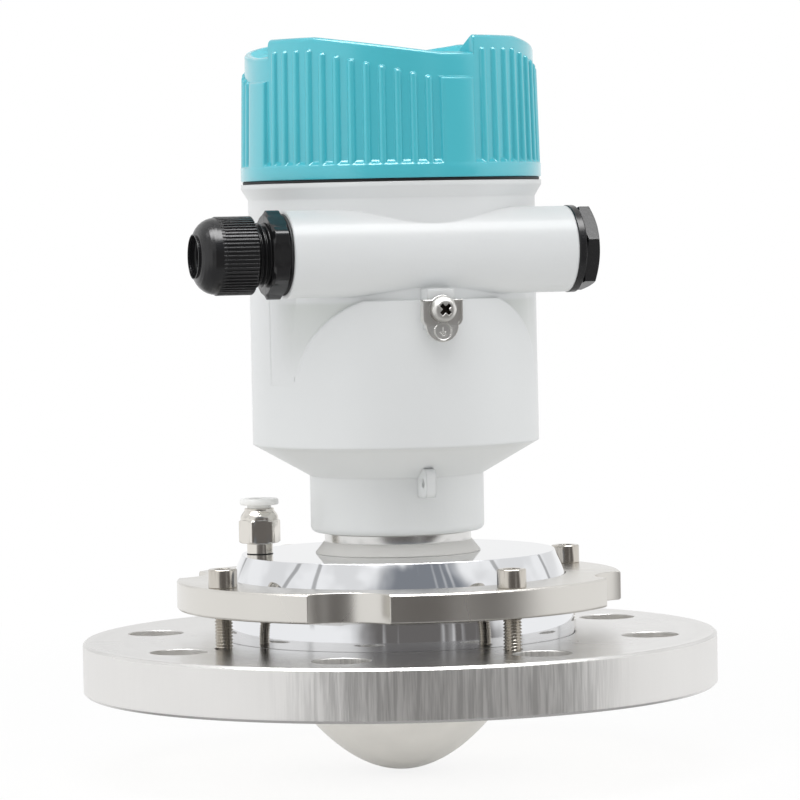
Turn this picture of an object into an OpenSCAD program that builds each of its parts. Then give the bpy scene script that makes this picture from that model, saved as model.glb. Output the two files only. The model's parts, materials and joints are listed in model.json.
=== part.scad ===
// Radar level transmitter on a swivel flange: a polished ball with a lens antenna is clamped
// in a flange, and carries a two-entry instrument housing with a screw cap.
// Z runs up the instrument, z = 0 is the flange's sealing face, the conduit tube runs along X
// and the earth terminal faces -Y.

/* [Process flange] */
// Outside diameter of the flange
flange_d = 200; // [196:1:230]
// Thickness of the flange
flange_t = 16.4; // [15:0.1:22]
// Diameter of the bolt circle
bolt_circle_d = 160; // [156:1:190]
// Diameter of each bolt hole
bolt_hole_d = 18; // [12:0.5:20]
// Number of bolt holes
bolt_n = 8; // [4:4:8]
// Angle of the first bolt hole from +X
bolt_phase = 15.14; // [0:0.5:22]
// Bevel on the flange's edges
flange_bevel = 0.8; // [0.3:0.1:2]

/* [Swivel ball] */
// Radius of the ball
ball_r = 55.2; // [54:0.1:57]
// Height of the ball's centre above the flange's top
ball_rise = 1.6; // [0:0.1:4]
// Height of the ball's flat top above its centre
ball_flat_up = 24.7; // [22:0.1:28]
// Depth of the ball's flat underside below its centre
ball_flat_down = 15.5; // [13:0.1:17]
// Gap between the ball and the metal round it
ball_gap = 0.3; // [0.2:0.05:0.6]
// Gap between the ball and its two bearing rings
seat_gap = 0.06; // [0.04:0.01:0.1]
// Height of each bearing ring
seat_h = 5; // [3:0.5:6]
// Radial width of each bearing ring's groove
seat_w = 3.2; // [2.5:0.1:3.6]
// Radius of the wave guide through the ball's top
guide_r = 9; // [6:0.5:11]

/* [Clamp ring] */
// Outside diameter of the clamp ring
ring_d = 140; // [136:1:146]
// Thickness of the clamp ring
ring_t = 9; // [7:0.1:11]
// Gap between the flange and the clamp ring
ring_gap = 9.8; // [7:0.1:12]
// Radius of each relief over a flange bolt
relief_r = 17; // [14:0.5:18]
// Radius of the screw circle
ring_screw_circle_r = 64; // [63:0.5:66]
// Thread diameter of the ring screws
ring_screw_d = 6; // [5:0.5:6]
// Head diameter of the ring screws
ring_head_d = 9.8; // [8:0.1:10]
// Head height of the ring screws
ring_head_h = 6; // [4:0.5:7]
// Thread length of the ring screws
ring_screw_l = 30; // [25:1:32]

/* [Lens] */
// Radius of the lens rim against the ball
lens_r = 38; // [34:0.5:40]
// Depth of the lens from its rim to its tip
lens_h = 28.7; // [20:0.1:34]
// Radius of the lens spigot in the ball
lens_spigot_r = 33; // [28:0.5:33]
// Height of the lens spigot
lens_spigot_h = 6; // [4:0.5:7]

/* [Neck] */
// Radius of the spigot that the housing turns on
spigot_r = 20; // [18:0.1:21]
// Height of the spigot above the steel shoulder
spigot_h = 22.3; // [20:0.1:22.5]
// Radius of the steel shoulder under the housing
shoulder_r = 23.1; // [22:0.1:25]
// Radius of the flared collar on the ball
collar_r = 25.2; // [23.5:0.1:28]
// Height of the steel shoulder's top above the ball
shoulder_h = 6.6; // [5:0.1:9]
// Radius of the microwave module in the neck
module_r = 14.8; // [10:0.1:15.5]
// Radial running gap between the spigot and the housing
turn_gap = 0.08; // [0.04:0.01:0.1]

/* [Purge fitting] */
// Distance of the purge fitting from the axis
purge_circle_r = 43.6; // [40:0.1:44]
// Angle of the purge fitting from +X
purge_angle = 162.8; // [150:0.1:175]
// Width across the flats of the fitting's hexagon
purge_hex = 11.5; // [10:0.1:12]
// Height of the fitting's hexagon
purge_hex_h = 7.3; // [5:0.1:9]
// Height of the round stem under the hexagon
purge_stem_h = 3.5; // [2:0.1:6]
// Radius of the round stem under the hexagon
purge_stem_r = 4.1; // [3.5:0.1:4.5]
// Radius of the tube socket
purge_bore_r = 3.1; // [2.6:0.1:3.1]
// Radius of the release disc
collet_r = 5.85; // [5:0.05:6.5]
// Travel of the release disc
collet_travel = 1; // [0.6:0.1:1.2]

/* [Housing] */
// Outside radius of the housing's body
body_r = 45.1; // [44.5:0.1:47]
// Height of the straight body between the cone and the rim's chamfer
body_h = 76.6; // [74:0.1:90]
// Outside radius of the housing's neck
neck_r = 27.4; // [26:0.1:30]
// Height of the housing's neck
neck_h = 17.9; // [16:0.1:20]
// Height of the cone between neck and body
cone_h = 10.1; // [9:0.1:14]
// Wall of the housing's body
wall = 3.7; // [3:0.1:3.9]
// How far the rim under the cap stands past the body's side
rim_step = 2.1; // [1.7:0.1:5]
// Height of the chamfer under the rim
rim_chamfer_h = 3.5; // [2:0.1:5]
// Height of the rim
rim_h = 1.4; // [1:0.1:3]
// How far the thread that takes the cap lies inside the body's side
thread_step = 2.2; // [1.9:0.1:2.6]
// Height of the thread that takes the cap
cap_thread_h = 8; // [6:0.5:9]

/* [Conduit tube] */
// Outside radius of the conduit tube
tube_r = 13.3; // [12.5:0.1:14]
// How far each end of the tube stands past the body's side
tube_over = 0.2; // [0:0.1:5]
// Distance of the tube's axis behind the front of the body
tube_inset = 10.1; // [9:0.1:12]
// Depth of the tube's axis below the housing's rim
tube_drop = 21.7; // [20:0.1:26]
// Radius of the tube's threaded bore
tube_bore_r = 9.3; // [8:0.1:9.4]

/* [Front panel] */
// Depth of the recess round the raised front panel
panel_relief = 1.9; // [1:0.1:2]
// Gap between the panel's top and the underside of the tube
panel_drop = 1.2; // [0.8:0.1:3]
// Half width of the front panel at its foot
panel_half_w = 38.4; // [34:0.1:40]
// Radius of the panel's arched corners
panel_arc_r = 26; // [20:0.5:26]
// Half angle of the recess round the panel
relief_half_angle = 75; // [68:1:80]

/* [Earth terminal] */
// Width of the cast boss behind the terminal
boss_w = 8.8; // [8:0.1:10]
// Height of the terminal's plate
plate_h = 7.7; // [7:0.1:9]
// Width of the terminal's plate
plate_w = 14; // [12:0.1:16]
// Thickness of the terminal's plate
plate_t = 1.2; // [0.8:0.1:1.5]
// Radius of the tab below the plate
tab_r = 5.2; // [4.5:0.1:6]
// Radius of the terminal screw's head
earth_head_r = 4; // [3.5:0.1:4.2]
// Thread radius of the terminal screw
earth_thread_r = 2; // [1.6:0.1:2.2]

/* [Cable gland] */
// Width across the flats of the gland's hexagon
gland_hex = 24; // [23:0.1:27]
// Height of the gland's hexagon
gland_hex_h = 5.5; // [4.5:0.1:7]
// Thickness of the gland's flat seal
gland_seal_t = 0.8; // [0.6:0.1:1.5]
// Length of thread that shows between the hexagon and the nut
gland_thread_show = 4.3; // [3.5:0.1:6]
// Radius of the gland nut over its ribs
gland_nut_r = 11.95; // [11.8:0.05:13]
// Length of the ribbed part of the gland nut
gland_rib_l = 11; // [9:0.5:13]
// Length of the domed part of the gland nut
gland_dome_l = 6.8; // [6:0.1:9]
// Radius of the cable opening in the gland nut
gland_mouth_r = 6.5; // [5.5:0.1:6.8]
// Number of ribs round the gland nut
gland_rib_n = 60; // [40:2:64]
// Radius of the hole in the gland's sealing sleeve
cable_r = 4.6; // [4.2:0.1:5]

/* [Blind plug] */
// Radius of the plug's round collar
plug_collar_r = 13.5; // [13:0.1:14.5]
// Thickness of the plug's round collar
plug_collar_t = 2.5; // [2.2:0.1:3.5]
// Width across the flats of the plug's hexagon
plug_hex = 23.6; // [20:0.1:24]
// Height of the plug's hexagon
plug_hex_h = 4.6; // [3.5:0.1:6]
// Length of the plug's and the gland's thread inside the tube
entry_thread_l = 9; // [7:0.5:9]

/* [Cap] */
// Height of the cap from its lower edge to its crests
cap_h = 43.4; // [42:0.1:48]
// Height of the cap's rim band
cap_band_h = 4.7; // [3.5:0.1:6]
// How far the cap's wall between the ribs lies behind its rim band
wall_step = 1.5; // [1.2:0.1:1.9]
// How far the crown above the ribs lies behind the rim band
crown_step = 1.9; // [1.8:0.1:2.2]
// Drop from a crest to the next valley
crest_drop = 5.3; // [3:0.1:7]
// Number of ratchet lobes round the crown
lobe_n = 4; // [3:1:4]
// Angle of the first lobe's step from +X
lobe_phase = 17.8; // [0:0.1:60]
// Ribs in each lobe
rib_n = 12; // [8:1:12]
// Angle between ribs
rib_pitch = 6; // [5.5:0.1:6]
// Radius of each rib's round back
rib_r = 1.15; // [0.9:0.05:1.3]
// Thread pitch of the cap
cap_pitch = 3; // [2:0.5:4]
// Thickness of the seal between cap and housing
cap_seal_t = 1; // [0.8:0.1:1.5]

/* [Inside] */
// Height of the electronics insert
insert_h = 34; // [26:1:36]
// Width of the terminal block
terminal_w = 34; // [28:1:38]
// Depth of the terminal block
terminal_d = 13; // [11:0.5:15]
// Height of the terminal block
terminal_h = 11; // [9:0.5:12]
// Number of wire entries in the terminal block
terminal_n = 4; // [2:1:5]

/* [Hidden] */
$fn = 96;
fit = 0.1;
slip = 0.3;
eps = 0.02;
hex_k = 1 / cos(30);

ball_z = flange_t + ball_rise;
ball_top_z = ball_z + ball_flat_up;
ball_low_z = ball_z - ball_flat_down;
ring_z = flange_t + ring_gap;
ring_top_z = ring_z + ring_t;
ring_screw_phase = bolt_phase;
relief_phase = bolt_phase + 360 / bolt_n;
seat_low_z = flange_t - seat_h - 4;
seat_high_z = ring_z + (ring_t - seat_h) / 2;

shoulder_z = ball_top_z + shoulder_h;
housing_z = shoulder_z + fit;
spigot_top_z = shoulder_z + spigot_h;
plug_in_ball = 6;
spigot_ring_z = shoulder_z + 9;
lock_z = shoulder_z + 15.8;
lock_r = 2.5;
neck_ring_r = 0.85;
groove_r = spigot_r - 2 * neck_ring_r - 0.1;

cone_z = housing_z + neck_h;
body_z = cone_z + cone_h;
chamfer_z = body_z + body_h;
rim_z = chamfer_z + rim_chamfer_h;
rim_top_z = rim_z + rim_h;
inner_r = body_r - wall;
rim_r = body_r + rim_step;
cap_thread_r = body_r - thread_step;
mouth_r = cap_thread_r - 3;
floor_z = body_z + 5.6;
thread_top_z = rim_top_z + cap_thread_h;

tube_y = body_r - tube_inset;
tube_z = rim_top_z - tube_drop;
tube_end = body_r + tube_over;
tube_l = 2 * tube_end;
panel_top_z = tube_z - tube_r - panel_drop;
panel_arc_x = panel_half_w - panel_arc_r;
panel_foot_z = panel_top_z - panel_arc_r + 1.7;

boss_y = tube_y + tube_r + 0.9;
plate_top_z = panel_top_z;
earth_z = plate_top_z - 2.9;
tab_z = plate_top_z - plate_h;
earth_pitch = 0.7;

gland_x = tube_end + gland_seal_t;
gland_hex_x = gland_x + gland_hex_h;
gland_nut_x = gland_hex_x + gland_thread_show;
gland_dome_x = gland_nut_x + gland_rib_l;
gland_end_x = gland_dome_x + gland_dome_l;
gland_thread_r = 9.9;
gland_sleeve_r = 8.2;
gland_claw_x = gland_dome_x - 3;
entry_thread_r = tube_bore_r - fit;

cap_z = rim_top_z + cap_seal_t;
cap_top_z = cap_z + cap_h;
cap_valley_z = cap_top_z - crest_drop;
cap_rim_r = rim_r;
cap_wall_r = cap_rim_r - wall_step;
crown_r = cap_rim_r - crown_step;
cap_inner_r = crown_r - 3.8;
cap_roof_z = cap_valley_z - 6;
dish_r = crown_r - 11.3;
cut_reach = 1.6 * crown_r;
dish_z = cap_roof_z + 3.2;
rib_top_z = cap_valley_z;
rib_fall = 0.93;
rib_flat_n = 4;
rib_start = 4.35;
lobe_angle = 360 / lobe_n;
crest_angle = 25;
valley_angle = 15;
pad_angle = 14;
pad_top_z = rib_top_z - 7.6;

insert_z = floor_z;
insert_top_z = insert_z + insert_h;
insert_r = min(mouth_r, inner_r) - 0.4;
insert_pad_r = 4;
insert_pad_h = 2;
insert_screw_r = insert_r - 8.5;
insert_thread_r = 1.5;
insert_thread_l = 9;
insert_head_r = 2.8;
insert_head_h = 2;
insert_slot_w = 0.8;

// An arc of points about [x, y], from angle a0 to a1 in n steps.
function arc(x, y, r, a0, a1, n) =
    [for (i = [0:n]) let (a = a0 + (a1 - a0) * i / n) [x + r * cos(a), y + r * sin(a)]];

// Copies of the children at n places round a circle.
module around(n, r, phase) {
    for (i = [0:n - 1])
        rotate(phase + i * 360 / n) translate([r, 0, 0]) children();
}

// A tall wedge about Z between two angles less than 180 degrees apart.
module wedge(r, a0, a1, z0, h) {
    mid = (a0 + a1) / 2;
    reach = r / cos((a1 - a0) / 4);
    translate([0, 0, z0]) linear_extrude(h)
        polygon([[0, 0], r * [cos(a0), sin(a0)], reach * [cos((a0 + mid) / 2), sin((a0 + mid) / 2)],
            r * [cos(mid), sin(mid)], reach * [cos((a1 + mid) / 2), sin((a1 + mid) / 2)],
            r * [cos(a1), sin(a1)]]);
}

// A flat ring with bevelled edges.
module washer(r_out, r_in, h, bevel) {
    rotate_extrude()
        polygon([[r_in, 0], [r_out - bevel, 0], [r_out, bevel], [r_out, h - bevel],
            [r_out - bevel, h], [r_in, h]]);
}

// A hexagonal prism whose corners are turned off at both ends.
module turned_hex(flats, h, bevel) {
    corner = flats / 2 * hex_k;
    intersection() {
        cylinder(r = corner, h = h, $fn = 6);
        rotate_extrude()
            polygon([[0, 0], [flats / 2, 0], [corner, bevel], [corner, h - bevel], [flats / 2, h], [0, h]]);
    }
}

// Places the children along the conduit tube's axis, with +Z of the children pointing out.
module entry(side) {
    translate([0, -tube_y, tube_z]) rotate([0, side * 90, 0]) children();
}

// ---- Flange, bearing rings and clamp ring

module ball_bore(gap) {
    translate([0, 0, ball_z]) sphere(r = ball_r + gap);
}

module bearing_groove(z, gap) {
    mid_r = sqrt(pow(ball_r, 2) - pow(z + seat_h / 2 - ball_z, 2));
    translate([0, 0, z + gap]) difference() {
        cylinder(r = mid_r + seat_w - gap, h = seat_h - 2 * gap);
        translate([0, 0, -1]) cylinder(r = mid_r - 4, h = seat_h + 2);
    }
}

module bearing_ring(z) {
    difference() {
        bearing_groove(z, fit);
        ball_bore(seat_gap);
    }
}

module mounting_flange() {
    color([0.78, 0.78, 0.77]) difference() {
        washer(flange_d / 2, 30, flange_t, flange_bevel);
        ball_bore(ball_gap);
        bearing_groove(seat_low_z, 0);
        around(bolt_n, bolt_circle_d / 2, bolt_phase)
            translate([0, 0, -1]) cylinder(d = bolt_hole_d, h = flange_t + 2);
        around(4, ring_screw_circle_r, ring_screw_phase)
            translate([0, 0, ring_top_z - ring_screw_l - 1.5])
                cylinder(d = ring_screw_d + 2 * fit, h = flange_t);
    }
}

module lower_bearing_ring() {
    color([0.93, 0.92, 0.88]) bearing_ring(seat_low_z);
}

module clamp_ring() {
    color([0.8, 0.79, 0.76]) difference() {
        translate([0, 0, ring_z]) washer(ring_d / 2, 30, ring_t, 0.5);
        ball_bore(ball_gap);
        bearing_groove(seat_high_z, 0);
        around(4, bolt_circle_d / 2, relief_phase)
            translate([0, 0, ring_z - 1]) cylinder(r = relief_r, h = ring_t + 2);
        around(4, ring_screw_circle_r, ring_screw_phase)
            translate([0, 0, ring_z - 1]) cylinder(d = ring_screw_d + 2 * slip, h = ring_t + 2);
    }
}

module upper_bearing_ring() {
    color([0.93, 0.92, 0.88]) bearing_ring(seat_high_z);
}

module cap_head_screw() {
    difference() {
        union() {
            translate([0, 0, -ring_screw_l]) cylinder(d = ring_screw_d, h = ring_screw_l + eps);
            rotate_extrude()
                polygon([[0, 0], [ring_head_d / 2, 0], [ring_head_d / 2, ring_head_h - 0.6],
                    [ring_head_d / 2 - 0.6, ring_head_h], [0, ring_head_h]]);
        }
        translate([0, 0, ring_head_h / 2])
            cylinder(d = ring_screw_d * 0.83 * hex_k, h = ring_head_h, $fn = 6);
    }
}

module clamp_screws() {
    color([0.7, 0.68, 0.65]) around(4, ring_screw_circle_r, ring_screw_phase)
        translate([0, 0, ring_top_z]) cap_head_screw();
}

// ---- Ball, neck and lens

horn_top_z = ball_top_z - plug_in_ball;
lens_seat_z = ball_low_z + lens_spigot_h;

module purge_place(z) {
    rotate(purge_angle) translate([purge_circle_r, 0, z]) children();
}

module ball() {
    color([0.86, 0.87, 0.88]) difference() {
        intersection() {
            translate([0, 0, ball_z]) sphere(r = ball_r, $fn = 128);
            translate([0, 0, ball_low_z]) cylinder(r = ball_r + 1, h = ball_flat_down + ball_flat_up);
        }
        translate([0, 0, horn_top_z]) cylinder(r = spigot_r - 2 + fit / 2, h = plug_in_ball + 1);
        translate([0, 0, lens_seat_z - eps])
            cylinder(r1 = lens_spigot_r - 3, r2 = guide_r, h = horn_top_z - lens_seat_z + 2 * eps);
        translate([0, 0, ball_low_z - 1]) cylinder(r = lens_spigot_r + fit / 2, h = lens_spigot_h + 1);
        purge_place(ball_top_z - 9) cylinder(r = purge_stem_r, h = 10);
        purge_place(ball_low_z - 1) cylinder(r = 1.5, h = ball_top_z - ball_low_z);
    }
}

module neck_spigot() {
    module_seat_z = ball_top_z + 2.5;
    color([0.74, 0.73, 0.71]) rotate_extrude()
        polygon([[guide_r, horn_top_z], [spigot_r - 2, horn_top_z], [spigot_r - 2, ball_top_z],
            [shoulder_r + 0.3, ball_top_z], [collar_r, ball_top_z + 1.3], [collar_r, ball_top_z + 1.8],
            [shoulder_r, ball_top_z + shoulder_h * 0.6], [shoulder_r, shoulder_z - 0.3],
            [shoulder_r - 0.3, shoulder_z], [spigot_r, shoulder_z],
            [spigot_r, spigot_ring_z - 1.1], [groove_r, spigot_ring_z - 1.1],
            [groove_r, spigot_ring_z + 1.1], [spigot_r, spigot_ring_z + 1.1],
            [spigot_r, lock_z - lock_r - 0.4], [spigot_r - 2, lock_z - lock_r - 0.4],
            [spigot_r - 2, lock_z + lock_r + 0.4], [spigot_r, lock_z + lock_r + 0.4],
            [spigot_r, spigot_top_z - 1], [spigot_r - 1, spigot_top_z],
            [module_r + fit, spigot_top_z], [module_r + fit, module_seat_z], [guide_r, module_seat_z]]);
}

module neck_o_ring() {
    color([0.08, 0.08, 0.08]) translate([0, 0, spigot_ring_z]) rotate_extrude()
        translate([groove_r + neck_ring_r + 0.05, 0]) circle(r = neck_ring_r, $fn = 24);
}

module microwave_module() {
    base_z = ball_top_z + 2.5;
    color([0.72, 0.6, 0.3]) {
        difference() {
            translate([0, 0, base_z]) cylinder(r = module_r, h = spigot_top_z - base_z - 2);
            translate([0, 0, base_z - 1]) cylinder(r1 = guide_r - 0.5, r2 = 4, h = 7);
        }
        translate([0, 0, spigot_top_z - 2 - eps]) cylinder(r = 5, h = floor_z - spigot_top_z + 2);
    }
}

module lens() {
    steps = 20;
    k = lens_r * lens_r / lens_h;
    tip_z = ball_low_z - lens_h;
    color([0.95, 0.95, 0.94]) difference() {
        rotate_extrude()
            polygon(concat(
                [for (i = [0:steps]) let (r = lens_r * i / steps) [r, tip_z + r * r / k]],
                [[lens_spigot_r, ball_low_z], [lens_spigot_r, lens_seat_z], [0, lens_seat_z]]));
        translate([0, 0, lens_seat_z]) rotate_extrude()
            polygon([[0, 1], [0, -4], [lens_spigot_r - 6, 0], [lens_spigot_r - 6, 1]]);
        translate([0, 0, ball_low_z + 1.6]) difference() {
            cylinder(r = lens_spigot_r + 1, h = 2.6);
            translate([0, 0, -1]) cylinder(r = lens_spigot_r - 2, h = 5);
        }
    }
}

module lens_o_ring() {
    color([0.08, 0.08, 0.08]) translate([0, 0, ball_low_z + 2.9]) rotate_extrude()
        translate([lens_spigot_r - 1, 0]) circle(r = 0.95, $fn = 24);
}

// ---- Purge fitting with a push-in release disc

purge_flat_angle = -97.7;
purge_hex_z = ball_top_z + purge_stem_h;
purge_nose_z = purge_hex_z + purge_hex_h;
purge_top_z = purge_nose_z + 3.7;
collet_z = purge_top_z + 0.3 + collet_travel;
collet_disc_t = 1.7;

module purge_fitting() {
    nose_r = purge_hex / 2 - 0.2;
    color([0.76, 0.73, 0.68]) purge_place(0) difference() {
        union() {
            translate([0, 0, ball_top_z - 8]) cylinder(r = purge_stem_r - fit, h = 8 + eps);
            translate([0, 0, ball_top_z]) cylinder(r = purge_stem_r, h = purge_stem_h + eps);
            translate([0, 0, purge_hex_z]) rotate(purge_flat_angle - 30 - purge_angle)
                turned_hex(purge_hex, purge_hex_h, 0.5);
            translate([0, 0, purge_nose_z - eps]) rotate_extrude()
                polygon(concat([[0, 0]], [[nose_r, 0], [nose_r, 1]],
                    arc(nose_r - 2.4, 1.3, 2.4, 0, 90, 6), [[0, 3.7 + eps]]));
        }
        translate([0, 0, ball_top_z - 9]) cylinder(r = 1.6, h = 30);
        translate([0, 0, purge_hex_z - 1]) cylinder(r = purge_bore_r, h = 30);
        translate([0, 0, purge_nose_z - 2.2]) cylinder(r = purge_bore_r + 1, h = 2.2 + eps);
        translate([0, 0, purge_nose_z]) cylinder(r = purge_bore_r + 0.75 + fit / 2, h = 30);
    }
}

module purge_seal() {
    color([0.08, 0.08, 0.08]) purge_place(purge_nose_z - 1.1) difference() {
        cylinder(r = purge_bore_r + 0.95, h = 1.9, center = true);
        cylinder(r = purge_bore_r + 0.02, h = 3, center = true);
    }
}

module purge_collet() {
    sleeve_r = purge_bore_r + 0.75 - fit / 2;
    sleeve_z = purge_nose_z + collet_travel + 0.25;
    color([0.93, 0.93, 0.91]) purge_place(0) difference() {
        union() {
            translate([0, 0, sleeve_z]) cylinder(r = sleeve_r, h = collet_z - sleeve_z + eps);
            translate([0, 0, collet_z]) washer(collet_r, 1, collet_disc_t, 0.35);
        }
        translate([0, 0, sleeve_z - 1]) cylinder(r = purge_bore_r, h = 20);
    }
}

// ---- Housing

// A solid of revolution that follows the housing's outside from neck to cap thread.
module housing_outside() {
    rotate_extrude()
        polygon(concat([[0, housing_z]],
            arc(neck_r - 2, housing_z + 2, 2, -90, 0, 5),
            [[neck_r, cone_z], [body_r, body_z], [body_r, chamfer_z], [rim_r, rim_z],
            [rim_r, rim_top_z], [cap_thread_r, rim_top_z], [cap_thread_r, thread_top_z - 0.8],
            [cap_thread_r - 0.8, thread_top_z], [0, thread_top_z]]));
}

module housing_inside() {
    rotate_extrude()
        polygon([[0, housing_z - 1], [spigot_r + turn_gap, housing_z - 1],
            [spigot_r + turn_gap, spigot_top_z + 0.6], [module_r + 0.4, spigot_top_z + 0.6],
            [module_r + 0.4, floor_z], [inner_r, floor_z], [inner_r, rim_z - 3],
            [mouth_r, rim_z - 3 + inner_r - mouth_r],
            [mouth_r, thread_top_z + 1], [0, thread_top_z + 1]]);
}

module panel_outline() {
    intersection() {
        union() {
            for (side = [-1, 1])
                translate([side * panel_arc_x, panel_foot_z]) circle(r = panel_arc_r);
            translate([-panel_arc_x, panel_foot_z]) square([2 * panel_arc_x, panel_arc_r]);
            translate([-panel_half_w, panel_foot_z - 30]) square([2 * panel_half_w, 30]);
        }
        translate([-body_r, panel_foot_z - 30]) square([2 * body_r, panel_top_z - panel_foot_z + 30]);
    }
}

// The shallow recess round the raised panel: a drafted ring that runs out to nothing at its foot.
module panel_recess() {
    foot_z = panel_foot_z - 2;
    difference() {
        intersection() {
            rotate_extrude()
                polygon([[body_r, foot_z], [body_r - panel_relief, panel_top_z],
                    [body_r - panel_relief, tube_z], [body_r + 5, tube_z], [body_r + 5, foot_z]]);
            wedge(body_r * 1.6, -90 - relief_half_angle, -90 + relief_half_angle, foot_z - 1, 80);
        }
        rotate([90, 0, 0]) linear_extrude(body_r + 10) panel_outline();
    }
}

module earth_boss() {
    top_z = plate_top_z + 3.4;
    bottom_z = earth_z - 6;
    translate([-boss_w / 2, -boss_y, bottom_z]) cube([boss_w, boss_y - inner_r - 1, top_z - bottom_z]);
}

lug_z = cone_z - 5.8;
lug_h = 8.9;
lug_t = 3.3;
lug_y = neck_r + 8.6;
lug_hole_r = 1.4;

module tag_lug() {
    translate([-lug_t / 2, 0, lug_z]) rotate([90, 0, 90]) linear_extrude(lug_t)
        polygon(concat([[-neck_r + 2, 0]], arc(-lug_y + 2, 2, 2, -90, -180, 4),
            arc(-lug_y + 2, lug_h - 2, 2, 180, 90, 4), [[-neck_r + 2, lug_h]]));
}

module housing() {
    color([0.84, 0.86, 0.86]) difference() {
        union() {
            difference() {
                housing_outside();
                panel_recess();
            }
            translate([0, -tube_y, tube_z]) rotate([0, 90, 0])
                cylinder(r = tube_r, h = tube_l, center = true);
            earth_boss();
            tag_lug();
            rotate(90) translate([neck_r - 3, 0, lock_z]) rotate([0, 90, 0]) cylinder(r = 5, h = 4);
        }
        housing_inside();
        translate([0, -tube_y, tube_z]) rotate([0, 90, 0])
            cylinder(r = tube_bore_r, h = tube_l + 2, center = true);
        translate([0, -boss_y - 1, earth_z]) rotate([-90, 0, 0]) cylinder(r = earth_thread_r + fit, h = 7);
        translate([-lug_t, -lug_y + 3.2, lug_z + lug_h / 2]) rotate([0, 90, 0])
            cylinder(r = lug_hole_r, h = 2 * lug_t);
        rotate(90) translate([spigot_r - 1, 0, lock_z]) rotate([0, 90, 0]) cylinder(r = lock_r, h = 20);
    }
}

module housing_lock_screw() {
    color([0.6, 0.6, 0.6]) rotate(90) translate([spigot_r - 1.6, 0, lock_z]) rotate([0, 90, 0]) difference() {
        cylinder(r = lock_r - 0.05, h = 8);
        translate([0, 0, 5.5]) cylinder(r = 1.25 * hex_k, h = 3, $fn = 6);
    }
}

// ---- Cap with a ratchet crown

module cap_seal() {
    color([0.06, 0.06, 0.06]) translate([0, 0, rim_top_z + 0.05])
        washer(cap_rim_r - 0.6, cap_thread_r + slip, cap_seal_t - 0.1, 0.2);
}

module crown_outside() {
    rotate_extrude()
        polygon(concat([[0, cap_z], [cap_rim_r - 0.3, cap_z], [cap_rim_r, cap_z + 0.3],
            [cap_rim_r, cap_z + cap_band_h - 0.5], [cap_rim_r - 0.5, cap_z + cap_band_h],
            [cap_wall_r, cap_z + cap_band_h], [crown_r, cap_valley_z - 3]],
            arc(crown_r - 1.5, cap_top_z - 1.5, 1.5, 0, 90, 5),
            [[dish_r + 4, cap_top_z - 4], [dish_r, dish_z], [0, dish_z]]));
}

// Removes what stands above one lobe: a ramp from its crest that runs out on the valley's floor.
module lobe_cut(a) {
    ramp_end = lobe_angle - valley_angle;
    mid = a + (crest_angle + ramp_end) / 2;
    half_chord = crown_r * sin((ramp_end - crest_angle) / 2);
    fall = atan(crest_drop / (2 * half_chord));
    intersection() {
        wedge(cut_reach, a + crest_angle - 6, a + lobe_angle, cap_valley_z, cut_reach);
        translate([0, 0, (cap_top_z + cap_valley_z) / 2]) rotate(mid) rotate([-fall, 0, 0])
            translate([0, -cut_reach, 0]) cube([cut_reach, 2 * cut_reach, cut_reach]);
    }
}

// One grip rib with a round back and a ball nose, drafted inwards.
module grip_rib(top_z) {
    foot_z = cap_z + cap_band_h - 1;
    translate([cap_rim_r - 0.2 - rib_r, 0, foot_z]) rotate([0, -1.3, 0]) {
        cylinder(r = rib_r, h = top_z - rib_r - foot_z, $fn = 24);
        translate([0, 0, top_z - rib_r - foot_z]) sphere(r = rib_r, $fn = 24);
    }
}

module lobe_ribs(a) {
    for (i = [0:rib_n - 1]) {
        drop = max(0, i - rib_flat_n + 1) * rib_fall;
        rotate(a + rib_start + i * rib_pitch) grip_rib(rib_top_z - drop);
    }
}

module lobe_pad(a) {
    foot_z = cap_z + cap_band_h - 1;
    intersection() {
        rotate_extrude()
            polygon([[cap_wall_r - 1.5, foot_z], [cap_rim_r - 0.05, foot_z],
                [cap_rim_r - 0.8, pad_top_z - 0.6],
                [cap_rim_r - 1.2, pad_top_z], [cap_wall_r - 1.5, pad_top_z]]);
        wedge(cut_reach, a + lobe_angle - 1 - pad_angle, a + lobe_angle - 1, foot_z - 1, cap_h);
    }
}

module cap() {
    color([0.29, 0.7, 0.76]) difference() {
        union() {
            difference() {
                crown_outside();
                for (i = [0:lobe_n - 1])
                    lobe_cut(lobe_phase + i * lobe_angle);
            }
            for (i = [0:lobe_n - 1]) {
                lobe_ribs(lobe_phase + i * lobe_angle);
                lobe_pad(lobe_phase + i * lobe_angle);
            }
        }
        translate([0, 0, cap_z - 1]) cylinder(r = cap_thread_r + slip, h = cap_thread_h + 2.2);
        rotate_extrude()
            polygon(concat([[0, cap_z - 1], [cap_inner_r, cap_z - 1]],
                arc(cap_inner_r - 8, cap_roof_z - 8, 8, 0, 90, 6), [[0, cap_roof_z]]));
    }
}

// ---- Electronics

module electronics_insert() {
    color([0.12, 0.13, 0.14]) difference() {
        union() {
            translate([0, 0, insert_z]) rotate_extrude()
                polygon([[module_r - 6, 0], [insert_r - 3, 0], [insert_r - 1.5, 1.5],
                    [insert_r - 1.5, insert_h - 3],
                    [insert_r, insert_h - 3], [insert_r, insert_h - 0.6], [insert_r - 0.6, insert_h],
                    [0, insert_h], [0, 8], [module_r - 6, 8]]);
            for (side = [-1, 1])
                translate([side * insert_screw_r, 0, insert_top_z - eps])
                    cylinder(r = insert_pad_r, h = insert_pad_h);
        }
        for (side = [-1, 1])
            translate([side * insert_screw_r, 0, insert_top_z - insert_thread_l - 1])
                cylinder(r = insert_thread_r + fit, h = 2 * insert_thread_l);
    }
}

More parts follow.
